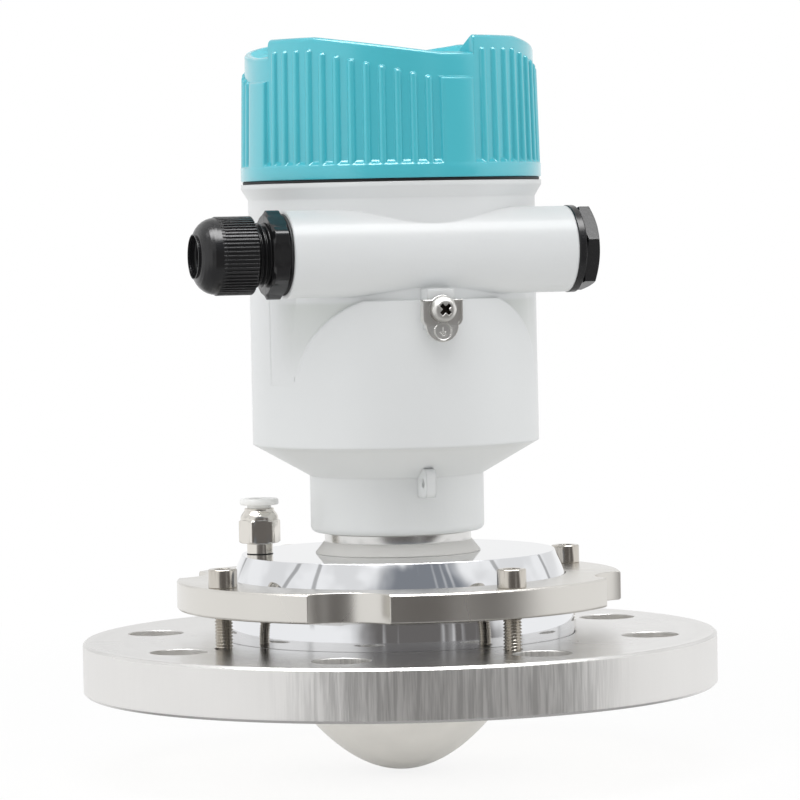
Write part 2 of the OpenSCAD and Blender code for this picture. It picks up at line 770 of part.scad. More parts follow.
module insert_screws() {
    color([0.75, 0.75, 0.74])
        for (side = [-1, 1])
            translate([side * insert_screw_r, 0, insert_top_z + insert_pad_h - eps]) difference() {
                union() {
                    translate([0, 0, -insert_thread_l])
                        cylinder(r = insert_thread_r, h = insert_thread_l + eps);
                    translate([0, 0, eps]) rotate_extrude()
                        polygon([[0, 0], [insert_head_r, 0], [insert_head_r, insert_head_h * 0.6],
                            [insert_head_r * 0.7, insert_head_h], [0, insert_head_h]]);
                }
                translate([-insert_slot_w / 2, -insert_head_r * 1.5, insert_head_h * 0.6])
                    cube([insert_slot_w, insert_head_r * 3, insert_head_h]);
            }
}

terminal_pitch = terminal_w / (terminal_n + 1);
terminal_y = 8;

module terminal_block() {
    color([0.2, 0.5, 0.3]) translate([0, terminal_y, insert_top_z]) difference() {
        rotate([90, 0, 90]) translate([0, 0, -terminal_w / 2]) linear_extrude(terminal_w)
            polygon([[-terminal_d / 2, 0], [terminal_d / 2, 0], [terminal_d / 2, terminal_h],
                [-terminal_d / 2 + 5, terminal_h], [-terminal_d / 2, terminal_h - 3]]);
        for (i = [1:terminal_n])
            translate([-terminal_w / 2 + i * terminal_pitch, 0, 0]) {
                translate([0, 0, 4]) rotate([90, 0, 0]) cylinder(r = 1.6, h = terminal_d);
                translate([0, 1.8, 5]) cylinder(r = 2.1, h = terminal_h);
            }
    }
}

module terminal_screws() {
    color([0.78, 0.78, 0.77]) translate([0, terminal_y, insert_top_z])
        for (i = [1:terminal_n])
            translate([-terminal_w / 2 + i * terminal_pitch, 1.8, 5]) difference() {
                cylinder(r = 2, h = terminal_h - 6.5);
                translate([-0.35, -3, terminal_h - 7.5]) cube([0.7, 6, 2]);
            }
}

// ---- Cable gland at -X

module gland_flat_seal() {
    color([0.07, 0.07, 0.07]) entry(-1) translate([0, 0, tube_end])
        washer(gland_hex / 2 + 0.4, entry_thread_r + fit, gland_seal_t, 0.2);
}

module gland_body() {
    color([0.05, 0.05, 0.05]) entry(-1) difference() {
        union() {
            translate([0, 0, tube_end - entry_thread_l]) cylinder(r = entry_thread_r, h = entry_thread_l + 2);
            translate([0, 0, gland_x]) turned_hex(gland_hex, gland_hex_h, 0.8);
            translate([0, 0, gland_hex_x - eps]) cylinder(r = gland_thread_r, h = gland_claw_x - gland_hex_x);
        }
        translate([0, 0, tube_end - entry_thread_l - 1]) cylinder(r = gland_mouth_r, h = 60);
        translate([0, 0, gland_hex_x]) cylinder(r = gland_sleeve_r + fit, h = 60);
    }
}

module gland_sleeve() {
    tip_x = gland_end_x - 2;
    color([0.1, 0.1, 0.1]) entry(-1) rotate_extrude()
        polygon([[cable_r, gland_hex_x + 0.2], [gland_sleeve_r, gland_hex_x + 0.2],
            [gland_sleeve_r, gland_claw_x + 1], [gland_sleeve_r - 0.8, gland_claw_x + 3],
            [gland_mouth_r - 0.2, tip_x - 1.2], [gland_mouth_r - 0.2, tip_x],
            [cable_r, tip_x]]);
}

module gland_nut() {
    rib_step = 360 / gland_rib_n;
    root_r = gland_nut_r - 0.5;
    dome_r = gland_dome_l - 0.4;
    color([0.04, 0.04, 0.04]) entry(-1) difference() {
        union() {
            translate([0, 0, gland_nut_x]) linear_extrude(gland_rib_l)
                polygon([for (i = [0:gland_rib_n - 1]) each [
                    root_r * [cos((i - 0.3) * rib_step), sin((i - 0.3) * rib_step)],
                    gland_nut_r * [cos((i - 0.17) * rib_step), sin((i - 0.17) * rib_step)],
                    gland_nut_r * [cos((i + 0.17) * rib_step), sin((i + 0.17) * rib_step)],
                    root_r * [cos((i + 0.3) * rib_step), sin((i + 0.3) * rib_step)]]]);
            rotate_extrude()
                polygon(concat([[0, gland_dome_x - 1], [gland_nut_r - 0.3, gland_dome_x - 1]],
                    arc(gland_nut_r - 0.3 - dome_r, gland_dome_x, dome_r, 0, 78, 7),
                    [[gland_mouth_r + 0.3, gland_end_x], [0, gland_end_x]]));
        }
        translate([0, 0, gland_nut_x - 1])
            cylinder(r = gland_thread_r + fit, h = gland_claw_x - gland_nut_x + 1.5);
        rotate_extrude()
            polygon([[0, gland_claw_x], [gland_sleeve_r + 0.4, gland_claw_x],
                [gland_sleeve_r + 0.4, gland_claw_x + 1.2], [gland_sleeve_r - 0.4, gland_claw_x + 3.2],
                [gland_mouth_r, gland_end_x - 3], [gland_mouth_r, gland_end_x + 1],
                [0, gland_end_x + 1]]);
    }
}

// ---- Blind plug at +X

plug_ring_r = 0.9;
plug_ring_mid = entry_thread_r + plug_ring_r + 0.15;

module plug_o_ring() {
    color([0.08, 0.08, 0.08]) entry(1) translate([0, 0, tube_end + plug_ring_r + 0.05]) rotate_extrude()
        translate([plug_ring_mid, 0]) circle(r = plug_ring_r, $fn = 24);
}

module blind_plug() {
    plug_x = tube_end + fit;
    color([0.04, 0.04, 0.04]) entry(1) difference() {
        union() {
            translate([0, 0, tube_end - entry_thread_l]) cylinder(r = entry_thread_r, h = entry_thread_l + 1);
            translate([0, 0, plug_x]) washer(plug_collar_r, 3, plug_collar_t, 0.3);
            translate([0, 0, plug_x + plug_collar_t - eps]) rotate(18) turned_hex(plug_hex, plug_hex_h, 0.7);
            translate([0, 0, plug_x]) cylinder(r = 6, h = plug_collar_t + 1);
        }
        translate([0, 0, tube_end - entry_thread_l - 1]) cylinder(r = entry_thread_r - 2, h = entry_thread_l);
        translate([0, 0, plug_x - eps]) difference() {
            cylinder(r = plug_ring_mid + plug_ring_r + 0.15, h = 2 * plug_ring_r);
            translate([0, 0, -1]) cylinder(r = entry_thread_r, h = 4);
        }
    }
}

// ---- Earth terminal at the front

module earth_place(y) {
    translate([0, -y, earth_z]) rotate([90, 0, 0]) children();
}

// A stamped saddle with two cheeks round the boss and a round tab below.
module earth_plate() {
    cheek_l = 3.6;
    color([0.72, 0.72, 0.71]) difference() {
        union() {
            translate([-plate_w / 2, -boss_y - plate_t, tab_z]) cube([plate_w, plate_t, plate_h]);
            translate([0, -boss_y, tab_z]) rotate([90, 0, 0]) cylinder(r = tab_r, h = plate_t);
            for (side = [-1, 1])
                translate([side * (plate_w / 2 - plate_t / 2) - plate_t / 2, -boss_y - eps, tab_z])
                    cube([plate_t, cheek_l, plate_h]);
        }
        translate([0, -boss_y + 1, earth_z]) rotate([90, 0, 0]) cylinder(r = earth_thread_r + slip, h = 5);
    }
}

module earth_washers() {
    color([0.66, 0.66, 0.65]) earth_place(boss_y + plate_t) {
        washer(earth_head_r + 0.4, earth_thread_r + slip, 0.8, 0.15);
        translate([0, 0, 0.8]) difference() {
            washer(earth_head_r - 0.3, earth_thread_r + slip, 1, 0.1);
            rotate(200) translate([0, -0.35, -1]) cube([9, 0.7, 4]);
        }
    }
}

module earth_screw() {
    head_h = 2.6;
    color([0.8, 0.79, 0.76]) earth_place(boss_y + plate_t + 1.8) difference() {
        union() {
            translate([0, 0, -8.5]) cylinder(r = earth_thread_r, h = 8.5 + eps);
            rotate_extrude()
                polygon(concat([[0, 0], [earth_head_r, 0]],
                    arc(earth_head_r - 1.8, head_h - 1.8, 1.8, 0, 90, 5), [[0, head_h]]));
        }
        for (turn = [45, 135])
            rotate(turn) translate([-1.9, -0.45, head_h - 1.3]) cube([3.8, 0.9, 2]);
    }
}

mounting_flange();
lower_bearing_ring();
clamp_ring();
upper_bearing_ring();
clamp_screws();
ball();
neck_spigot();
neck_o_ring();
microwave_module();
lens();
lens_o_ring();
purge_fitting();
purge_seal();
purge_collet();
housing();
housing_lock_screw();
cap_seal();
cap();
electronics_insert();
insert_screws();
terminal_block();
terminal_screws();
gland_flat_seal();
gland_body();
gland_sleeve();
gland_nut();
plug_o_ring();
blind_plug();
earth_plate();
earth_washers();
earth_screw();
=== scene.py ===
import bpy
import bmesh
import json
import math
from mathutils import Matrix, Vector


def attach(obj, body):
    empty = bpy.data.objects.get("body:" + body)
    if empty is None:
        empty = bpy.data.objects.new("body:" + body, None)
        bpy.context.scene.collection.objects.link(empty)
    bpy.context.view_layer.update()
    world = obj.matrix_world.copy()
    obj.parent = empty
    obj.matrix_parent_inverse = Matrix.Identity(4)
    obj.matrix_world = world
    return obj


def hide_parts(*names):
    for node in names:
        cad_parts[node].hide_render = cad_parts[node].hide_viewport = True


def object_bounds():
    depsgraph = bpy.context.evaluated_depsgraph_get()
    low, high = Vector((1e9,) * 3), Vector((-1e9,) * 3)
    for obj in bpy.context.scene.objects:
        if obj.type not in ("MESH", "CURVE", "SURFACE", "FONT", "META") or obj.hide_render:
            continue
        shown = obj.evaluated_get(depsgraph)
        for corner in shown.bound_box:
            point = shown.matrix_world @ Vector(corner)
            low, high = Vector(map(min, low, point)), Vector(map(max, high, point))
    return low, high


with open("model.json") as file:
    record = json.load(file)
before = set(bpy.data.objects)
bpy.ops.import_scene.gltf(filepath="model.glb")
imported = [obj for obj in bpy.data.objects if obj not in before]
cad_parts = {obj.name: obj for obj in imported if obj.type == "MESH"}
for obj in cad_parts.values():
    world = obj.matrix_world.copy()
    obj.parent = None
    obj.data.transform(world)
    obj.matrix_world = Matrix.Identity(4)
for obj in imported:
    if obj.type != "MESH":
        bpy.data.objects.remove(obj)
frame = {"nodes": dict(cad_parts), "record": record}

mm = 0.001
nodes = frame["nodes"]
record = frame["record"]
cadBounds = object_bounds()
scene = bpy.context.scene
print("frame loaded:", len(nodes), "nodes")


cameraLook = {
    "focal": 187.6,
    "sensor": 36,
    "distance": 1313.0,    # millimetres from the instrument's axis
    "height": 147.7,       # above the sealing face
    "sideways": 1.5,
    "turnDeg": 17.2,       # the housing's front looks this far to the right of the lens
    "pitchDeg": 2.5,
    "rollDeg": -1.12,
}


def addCamera():
    look = cameraLook
    data = bpy.data.cameras.new("mainCamera")
    data.lens = look["focal"]
    data.sensor_width = look["sensor"]
    data.clip_start = 0.05
    data.clip_end = 20
    data.dof.use_dof = False
    turn, pitch = math.radians(look["turnDeg"]), math.radians(look["pitchDeg"])
    ahead = Vector((math.sin(turn) * math.cos(pitch), math.cos(turn) * math.cos(pitch), -math.sin(pitch)))
    right = Vector((math.cos(turn), -math.sin(turn), 0))
    level = Vector((math.sin(turn), math.cos(turn), 0))
    camera = bpy.data.objects.new("mainCamera", data)
    scene.collection.objects.link(camera)
    facing = (-ahead).to_track_quat("Z", "Y").to_matrix().to_4x4()
    place = right * look["sideways"] - level * look["distance"] + Vector((0, 0, look["height"]))
    roll = Matrix.Rotation(math.radians(look["rollDeg"]), 4, "Z")
    camera.matrix_world = Matrix.Translation(place * mm) @ facing @ roll
    scene.camera = camera


def newMaterial(name):
    material = bpy.data.materials.new(name)
    material.use_nodes = True
    tree = material.node_tree
    tree.nodes.clear()
    return material, tree


class Wiring:
    # short ways to add, set and link the nodes of one tree

    def __init__(self, tree):
        self.tree = tree

    def node(self, kind, inputs=None, **values):
        made = self.tree.nodes.new("ShaderNode" + kind)
        for key, value in values.items():
            setattr(made, key, value)
        for key, value in (inputs or {}).items():
            self.put(made.inputs[key], value)
        return made

    def put(self, socket, value):
        if isinstance(value, bpy.types.NodeSocket):
            self.tree.links.new(value, socket)
        else:
            socket.default_value = value

    def calc(self, operation, *values, clamp=False):
        made = self.node("Math", operation=operation, use_clamp=clamp)
        for i, value in enumerate(values):
            self.put(made.inputs[i], value)
        return made.outputs[0]

    def span(self, value, low, high, toLow=0.0, toHigh=1.0, smooth=False):
        made = self.node("MapRange", interpolation_type="SMOOTHSTEP" if smooth else "LINEAR")
        for i, item in enumerate((value, low, high, toLow, toHigh)):
            self.put(made.inputs[i], item)
        return made.outputs[0]

    def tint(self, share, first, second, blend="MIX"):
        made = self.node("Mix", data_type="RGBA", blend_type=blend)
        self.put(made.inputs[0], share)
        self.put(made.inputs[6], first)
        self.put(made.inputs[7], second)
        return made.outputs[2]

    def noise(self, vector, scale, detail, **more):
        return self.node("TexNoise", {"Vector": vector, "Scale": scale, "Detail": detail, **more}).outputs[0]

    def vector(self, x, y, z):
        return self.node("CombineXYZ", {0: x, 1: y, 2: z}).outputs[0]

    def grey(self, value):
        return self.node("CombineColor", {0: value, 1: value, 2: value}).outputs[0]

    def fromAxis(self, x, y):
        return self.calc("SQRT", self.calc("ADD", self.calc("MULTIPLY", x, x), self.calc("MULTIPLY", y, y)))


floorLook = {
    "radius": 0.62,          # metres; past it the tent itself is seen
    "gap": 0.0005,           # between the floor and the instrument's lowest point
    "clearFrom": 0.16,       # where the floor starts to fade into the backdrop
    "clearTo": 0.527,        # where it has faded
    "shadowShare": 0.16,     # how much of the floor's own shading the camera sees close in
    "colour": (0.93, 0.93, 0.93, 1),
}


def addFloor():
    look = floorLook
    mesh = bpy.data.meshes.new("studioFloor")
    shape = bmesh.new()
    bmesh.ops.create_circle(shape, cap_ends=True, radius=look["radius"], segments=96)
    shape.to_mesh(mesh)
    shape.free()
    floor = bpy.data.objects.new("studioFloor", mesh)
    scene.collection.objects.link(floor)
    floor.location = (0, 0, cadBounds[0].z - look["gap"])
    material, tree = newMaterial("floorWhite")
    w = Wiring(tree)
    paper = w.node("BsdfDiffuse", {"Color": look["colour"]}).outputs[0]
    glow = w.node("Emission", {"Color": (1, 1, 1, 1), "Strength": 1.0}).outputs[0]
    spot = w.node("SeparateXYZ", {0: w.node("TexCoord").outputs["Object"]}).outputs
    reach = w.fromAxis(spot[0], spot[1])
    near = w.span(reach, look["clearFrom"], look["clearTo"], look["shadowShare"], 0.0, smooth=True)
    share = w.calc("MULTIPLY", w.node("LightPath").outputs["Is Camera Ray"], w.calc("SUBTRACT", 1.0, near))
    mix = w.node("MixShader", {0: share})
    tree.links.new(paper, mix.inputs[1])
    tree.links.new(glow, mix.inputs[2])
    # from below the camera looks through it
    under = w.node("NewGeometry").outputs["Backfacing"]
    under = w.calc("MULTIPLY", under, w.node("LightPath").outputs["Is Camera Ray"])
    whole = w.node("MixShader", {0: under})
    tree.links.new(mix.outputs[0], whole.inputs[1])
    tree.links.new(w.node("BsdfTransparent").outputs[0], whole.inputs[2])
    out = w.node("OutputMaterial")
    tree.links.new(whole.outputs[0], out.inputs["Surface"])
    mesh.materials.append(material)
    floor.visible_glossy = False


studio = {
    "fill": 0.74,            # strength of the white tent all round
    "bouncedGlow": (1.75, 1.72, 1.62, 1),   # the tent as the metal throws it on to the paint
    "tentGlow": 0.98,        # the tent as metal and gloss see it
    "lowGlow": 0.5,          # the shaded paper under the flange
    "lowFromDeg": -18.0,
    "lowReachDeg": 18.0,
    "crownGlow": 0.55,       # the tent's opening straight above
    "ceilingGlow": 12.0,     # the lamps over the tent's roof, as gloss sees them
    "ceilingFromDeg": 43.0,
    "ceilingToDeg": 60.0,
    "ceilingEndDeg": 87.0,
    "darkTint": (0.150, 0.142, 0.138, 1),   # the unlit room behind the camera
    "darkHighTint": (0.235, 0.25, 0.275, 1),   # its paler upper part
    "paleDeg": (8.0, 30.0),  # the height over which it turns paler
    "leftTaper": 0.35,       # how much narrower it is for each degree of height
    "rightTaper": 0.55,
    "darkFromDeg": -27.0,    # its reach either side of the lens
    "darkToDeg": 68.0,
    "darkTopDeg": 47.0,      # its reach above and below
    "darkLowDeg": -34.0,
    "leftEdgeDeg": 13.0,     # how softly it ends
    "rightEdgeDeg": 8.0,
    "levelEdgeDeg": 4.0,
    "waverDeg": 22.0,        # how unevenly it ends
    "uprightShare": 0.55,    # how pale the uprights in it are
    "clothLow": 0.84,        # the darkest patches of the tent's cloth
    "seams": ((-58.0, 0.25), (-96.0, -0.3), (88.0, 0.2), (128.0, -0.15), (-150.0, 0.1)),   # place and lean
    "seamDeg": (1.1, 2.4),
    "seamShade": 0.5,
    "plainDeg": -3.0,        # the cloth and seams stay plain round this height
    "plainReachDeg": (5.0, 12.0),
}


def addWorld():
    look = studio
    world = bpy.data.worlds.new("studioTent")
    scene.world = world
    world.use_nodes = True
    tree = world.node_tree
    tree.nodes.clear()
    w = Wiring(tree)
    x, y, z = w.node("SeparateXYZ", {0: w.node("TexCoord").outputs["Generated"]}).outputs
    turn = math.radians(cameraLook["turnDeg"])
    side = w.calc("SUBTRACT", w.calc("MULTIPLY", x, math.cos(turn)), w.calc("MULTIPLY", y, math.sin(turn)))
    ahead = w.calc("ADD", w.calc("MULTIPLY", x, math.sin(turn)), w.calc("MULTIPLY", y, math.cos(turn)))
    around = w.calc("MULTIPLY", w.calc("ARCTAN2", side, w.calc("MULTIPLY", ahead, -1.0)), 180 / math.pi)
    height = w.calc("MULTIPLY", w.calc("ARCSINE", z), 180 / math.pi)

    def uneven(across, up, seed, detail):
        spot = w.vector(w.calc("MULTIPLY", around, across), w.calc("MULTIPLY", height, up), seed)
        return w.noise(spot, 1.0, detail)

    def border(value, at, soft):
        return w.span(value, at - soft, at + soft, smooth=True)

    # the room's border wavers, and a few pale uprights stand in it
    waver = w.calc("MULTIPLY", w.calc("SUBTRACT", uneven(0.05, 0.03, 0.0, 2.0), 0.5), look["waverDeg"])
    rise = w.calc("MAXIMUM", height, 0.0)
    left = w.calc("SUBTRACT", w.calc("ADD", around, waver), w.calc("MULTIPLY", rise, look["leftTaper"]))
    fromSide = border(left, look["darkFromDeg"], look["leftEdgeDeg"])
    right = w.calc("ADD", w.calc("SUBTRACT", around, waver), w.calc("MULTIPLY", rise, look["rightTaper"]))
    toSide = border(right, look["darkToDeg"], -look["rightEdgeDeg"])
    top = w.calc("ADD", height, w.calc("MULTIPLY", waver, 0.6))
    toTop = border(top, look["darkTopDeg"], -look["levelEdgeDeg"])
    toLow = border(height, look["darkLowDeg"], look["levelEdgeDeg"])
    dark = w.calc("MULTIPLY", w.calc("MULTIPLY", fromSide, toSide), w.calc("MULTIPLY", toTop, toLow))
    upright = w.span(uneven(0.16, 0.004, 3.7, 1.5), 0.60, 0.72, 0.0, look["uprightShare"])
    dark = w.calc("MULTIPLY", dark, w.calc("SUBTRACT", 1.0, upright))
    # the tent's cloth is uneven, and its seams show as thin grey lines
    shade = w.span(uneven(0.035, 0.06, 9.1, 2.0), 0.38, 0.6, look["clothLow"], 1.0, smooth=True)
    seam = 1.0
    for place, lean in look["seams"]:
        off = w.calc("SUBTRACT", w.calc("ADD", around, w.calc("MULTIPLY", height, lean)), place)
        off = w.calc("ABSOLUTE", off)
        seam = w.calc("MULTIPLY", seam, w.span(off, *look["seamDeg"], look["seamShade"], 1.0, smooth=True))
    offPlain = w.calc("ABSOLUTE", w.calc("SUBTRACT", height, look["plainDeg"]))
    away = w.span(offPlain, *look["plainReachDeg"], smooth=True)
    shade = w.calc("ADD", 1.0, w.calc("MULTIPLY", away, w.calc("SUBTRACT", w.calc("MULTIPLY", shade, seam), 1.0)))
    # the lamps hang in a bank over the camera's side, short of straight above
    bank = w.calc("MULTIPLY", w.span(height, look["ceilingFromDeg"], look["ceilingToDeg"], smooth=True),
                  w.span(height, look["ceilingEndDeg"], look["ceilingEndDeg"] - 10, smooth=True))
    bank = w.calc("MULTIPLY", bank, w.span(ahead, 0.05, -0.1, smooth=True))
    # one metal face doesn't show another the lamps
    bank = w.calc("MULTIPLY", bank, w.calc("LESS_THAN", w.node("LightPath").outputs["Glossy Depth"], 1.5))
    crown = w.span(height, look["ceilingEndDeg"] - 12, look["ceilingEndDeg"] - 2,
                   look["tentGlow"], look["crownGlow"], smooth=True)
    roof = w.span(bank, 0.0, 1.0, crown, look["ceilingGlow"])
    low = w.span(height, look["lowFromDeg"], look["lowFromDeg"] - look["lowReachDeg"],
                 1.0, look["lowGlow"], smooth=True)
    tent = w.grey(w.calc("MULTIPLY", w.calc("MULTIPLY", roof, low), shade))
    room = w.tint(w.span(height, *look["paleDeg"], smooth=True), look["darkTint"], look["darkHighTint"])
    seen = w.tint(dark, tent, room)
    path = w.node("LightPath").outputs
    # light that a metal face throws on to a dull one comes from a plain tent
    seen = w.tint(w.calc("GREATER_THAN", path["Diffuse Depth"], 0.5), seen, look["bouncedGlow"])
    level = w.tint(path["Is Glossy Ray"], (look["fill"],) * 3 + (1,), seen)
    level = w.tint(path["Is Camera Ray"], level, (1, 1, 1, 1))
    backdrop = w.node("Background", {"Color": level, "Strength": 1.0})
    out = w.node("OutputWorld")
    tree.links.new(backdrop.outputs[0], out.inputs["Surface"])


lamps = {   # place in metres, size in metres, power in watts
    "topSoftbox": ((-0.25, -0.55, 1.1), (0.9, 0.9), 4.4),
    "leftSoftbox": ((-1.15, 0.3, 0.35), (0.5, 1.0), 3.4),
    "rightSoftbox": ((1.07, -0.2, 0.35), (0.5, 1.0), 2.4),
}


def addLamps():
    middle = Vector((0, 0, 0.09))
    for name, (place, size, power) in lamps.items():
        data = bpy.data.lights.new(name, "AREA")
        data.shape = "RECTANGLE"
        data.size, data.size_y = size
        data.energy = power
        lamp = bpy.data.objects.new(name, data)
        scene.collection.objects.link(lamp)
        lamp.location = place
        lamp.rotation_mode = "QUATERNION"
        lamp.rotation_quaternion = (middle - Vector(place)).to_track_quat("-Z", "Y")
        lamp.visible_glossy = False   # gloss sees the world's own bank of lamps


addCamera()
addFloor()
addWorld()
addLamps()
scene.view_settings.view_transform = "Standard"
print("camera, floor, tent and lamps ready")


def newGroup(name, inputs, outputs):
    # inputs come with their usual values; every output is a number
    group = bpy.data.node_groups.new(name, "ShaderNodeTree")
    for label, value in inputs.items():
        kind = "NodeSocketVector" if isinstance(value, tuple) else "NodeSocketFloat"
        made = group.interface.new_socket(name=label, in_out="INPUT", socket_type=kind)
        made.default_value = value
    for label in outputs:
        group.interface.new_socket(name=label, in_out="OUTPUT", socket_type="NodeSocketFloat")
    given = group.nodes.new("NodeGroupInput").outputs
    return group, Wiring(group), given, group.nodes.new("NodeGroupOutput").inputs


def makeFineGrain():
    # powder coat, cast and moulded skins: a fine grain and slow cloudiness
    group, w, given, out = newGroup("fineGrain", {"Scale": 1500.0, "Cloud Scale": 30.0}, ["Grain", "Cloud"])
    place = w.node("TexCoord").outputs["Object"]
    w.put(out["Grain"], w.noise(place, given["Scale"], 2.0, Roughness=0.55))
    w.put(out["Cloud"], w.noise(place, given["Cloud Scale"], 3.0, Roughness=0.5))
    return group


def makeTurnedLines():
    # the fine rings that a lathe tool leaves round an axis along Z through a centre
    group, w, given, out = newGroup("turnedLines", {"Centre": (0, 0, 0), "Pitch": 0.00035, "Waver": 0.6},
                                    ["Height", "Band"])
    place = w.node("TexCoord").outputs["Object"]
    local = w.node("VectorMath", {0: place, 1: given["Centre"]}, operation="SUBTRACT").outputs[0]
    x, y, z = w.node("SeparateXYZ", {0: local}).outputs
    # faces see rings by radius, turned walls see them by height
    rings = w.calc("DIVIDE", w.calc("ADD", w.fromAxis(x, y), z), given["Pitch"])
    w.put(out["Height"], w.noise(w.vector(rings, 0.0, 0.0), 1.0, 2.0, Roughness=given["Waver"]))
    w.put(out["Band"], w.noise(w.vector(w.calc("MULTIPLY", rings, 0.045), 0.0, 0.0), 1.0, 1.0))
    return group


def makeRimStreaks():
    # short upright streaks round a wall about the Z axis, as grinding leaves
    group, w, given, out = newGroup("rimStreaks", {"Count": 300.0, "Stretch": 12.0}, ["Streak"])
    x, y, z = w.node("SeparateXYZ", {0: w.node("TexCoord").outputs["Object"]}).outputs
    angle = w.calc("ARCTAN2", y, x)
    # a point on a circle keeps the pattern whole at the seam
    circle = 6.283
    across = w.calc("MULTIPLY", w.calc("COSINE", angle), w.calc("DIVIDE", given["Count"], circle))
    along = w.calc("MULTIPLY", w.calc("SINE", angle), w.calc("DIVIDE", given["Count"], circle))
    around = w.vector(across, along, w.calc("MULTIPLY", z, given["Stretch"]))
    w.put(out["Streak"], w.noise(around, 1.0, 3.0, Roughness=0.6))
    return group


def makeDust():
    # sparse pale specks, more of them on faces that look up
    group, w, given, out = newGroup("dustSpecks", {"Scale": 900.0, "Amount": 0.3}, ["Mask"])
    place = w.node("TexCoord").outputs["Object"]
    facing = w.node("SeparateXYZ", {0: w.node("NewGeometry").outputs["Normal"]}).outputs[2]
    upward = w.span(facing, 0.1, 0.9)
    specks = w.node("TexVoronoi", {"Vector": place, "Scale": given["Scale"]}, feature="F1").outputs["Distance"]
    patches = w.noise(place, 60.0, 2.0)
    near = w.span(specks, 0.22, 0.05)
    amount = w.calc("MULTIPLY", w.calc("MULTIPLY", near, w.span(patches, 0.45, 0.7)), given["Amount"])
    w.put(out["Mask"], w.calc("MULTIPLY", amount, w.calc("ADD", 0.25, w.calc("MULTIPLY", upward, 0.75)), clamp=True))
    return group


groups = {made.name: made for made in (makeFineGrain(), makeTurnedLines(), makeRimStreaks(), makeDust())}


def useGroup(w, name, values):
    return w.node("Group", values, node_tree=groups[name]).outputs


def startMaterial(name, settings):
    # a Principled surface with its plain values set on its own sockets
    material, tree = newMaterial(name)
    w = Wiring(tree)
    shader = w.node("BsdfPrincipled")
    out = w.node("OutputMaterial")
    tree.links.new(shader.outputs[0], out.inputs["Surface"])
    for key, value in settings.items():
        shader.inputs[key].default_value = value
    return material, w, shader


def bump(w, shader, height, depth, edge):
    # fine relief over softly rounded edges
    made = w.node("Bump", {"Height": height, "Distance": depth, "Strength": 1.0, "Normal": edge})
    w.put(shader.inputs["Normal"], made.outputs[0])


def roundEdges(w, radius):
    return w.node("Bevel", {"Radius": radius}, samples=6).outputs[0]


def opaque(colour, share=1.0):
    return tuple(c * share for c in colour) + (1,)


def patchy(w, mask, colour, dark, low=0.3, high=0.7):
    # a colour and its darker shade, mixed by a slow noise
    return w.tint(w.span(mask, low, high), opaque(colour, dark), opaque(colour))


def patchyRough(w, mask, rough, smoother, rougher):
    return w.span(mask, 0.3, 0.7, rough * smoother, rough * rougher)


def paintedCasting(name, look):
    # powder coat over a casting: fine orange peel, faint cloudiness, softly rounded edges
    material, w, shader = startMaterial(name, {
        "Coat Weight": look["coat"], "Coat Roughness": look["coatRough"], "Coat IOR": 1.6, "IOR": 1.48,
        "Specular IOR Level": look["specular"]})
    grain = useGroup(w, "fineGrain", {"Scale": look["grainScale"], "Cloud Scale": 35.0})
    dust = useGroup(w, "dustSpecks", {"Scale": 420.0, "Amount": look["dust"]})["Mask"]
    base = patchy(w, grain["Cloud"], look["colour"], look["cloudDark"])
    rough = patchyRough(w, grain["Cloud"], look["rough"], 0.9, 1.12)
    x, y, z = w.node("SeparateXYZ", {0: w.node("TexCoord").outputs["Object"]}).outputs
    radius = w.fromAxis(x, y)
    if "recess" in look:
        # the recess round the front panel lies in its own shade
        low, high, floor, flush = look["recess"]
        band = w.calc("MULTIPLY", w.span(z, low - 0.002, low), w.span(z, high + 0.001, high))
        sunk = w.calc("MULTIPLY", band, w.span(radius, flush, floor))
        base = w.tint(sunk, base, opaque(look["recessTint"]))
    if "dullTop" in look:
        # hands have taken the shine off the crown's inner slopes
        low, reach = look["dullTop"]
        worn = w.calc("MULTIPLY", w.span(z, low, low + 0.002), w.span(radius, reach, reach - 0.001))
        rough = w.calc("ADD", rough, w.calc("MULTIPLY", worn, 0.3))
        w.put(shader.inputs["Coat Weight"], w.span(worn, 0.0, 1.0, look["coat"], 0.1))
    w.put(shader.inputs["Base Color"], w.tint(dust, base, (0.8, 0.8, 0.78, 1)))
    w.put(shader.inputs["Roughness"], rough)
    bump(w, shader, grain["Grain"], look["peel"], roundEdges(w, look["edge"]))
    return material


def turnedMetal(name, look):
    # bare metal off the lathe: rings, slow tone bands and rounded edges
    material, w, shader = startMaterial(name, {"Metallic": 1.0})
    rings = useGroup(w, "turnedLines", {"Centre": (0, 0, 0), "Pitch": look["pitch"]})
    grain = useGroup(w, "fineGrain", {"Scale": 700.0, "Cloud Scale": 45.0})
    w.put(shader.inputs["Base Color"], patchy(w, rings["Band"], look["colour"], look["dull"], 0.35, 0.65))
    rough = patchyRough(w, grain["Cloud"], look["rough"], 0.8, 1.25)
    w.put(shader.inputs["Roughness"], w.calc("ADD", rough, w.span(rings["Height"], 0.3, 0.7, -0.03, 0.05)))
    bump(w, shader, rings["Height"], look["groove"], roundEdges(w, look["edge"]))
    return material


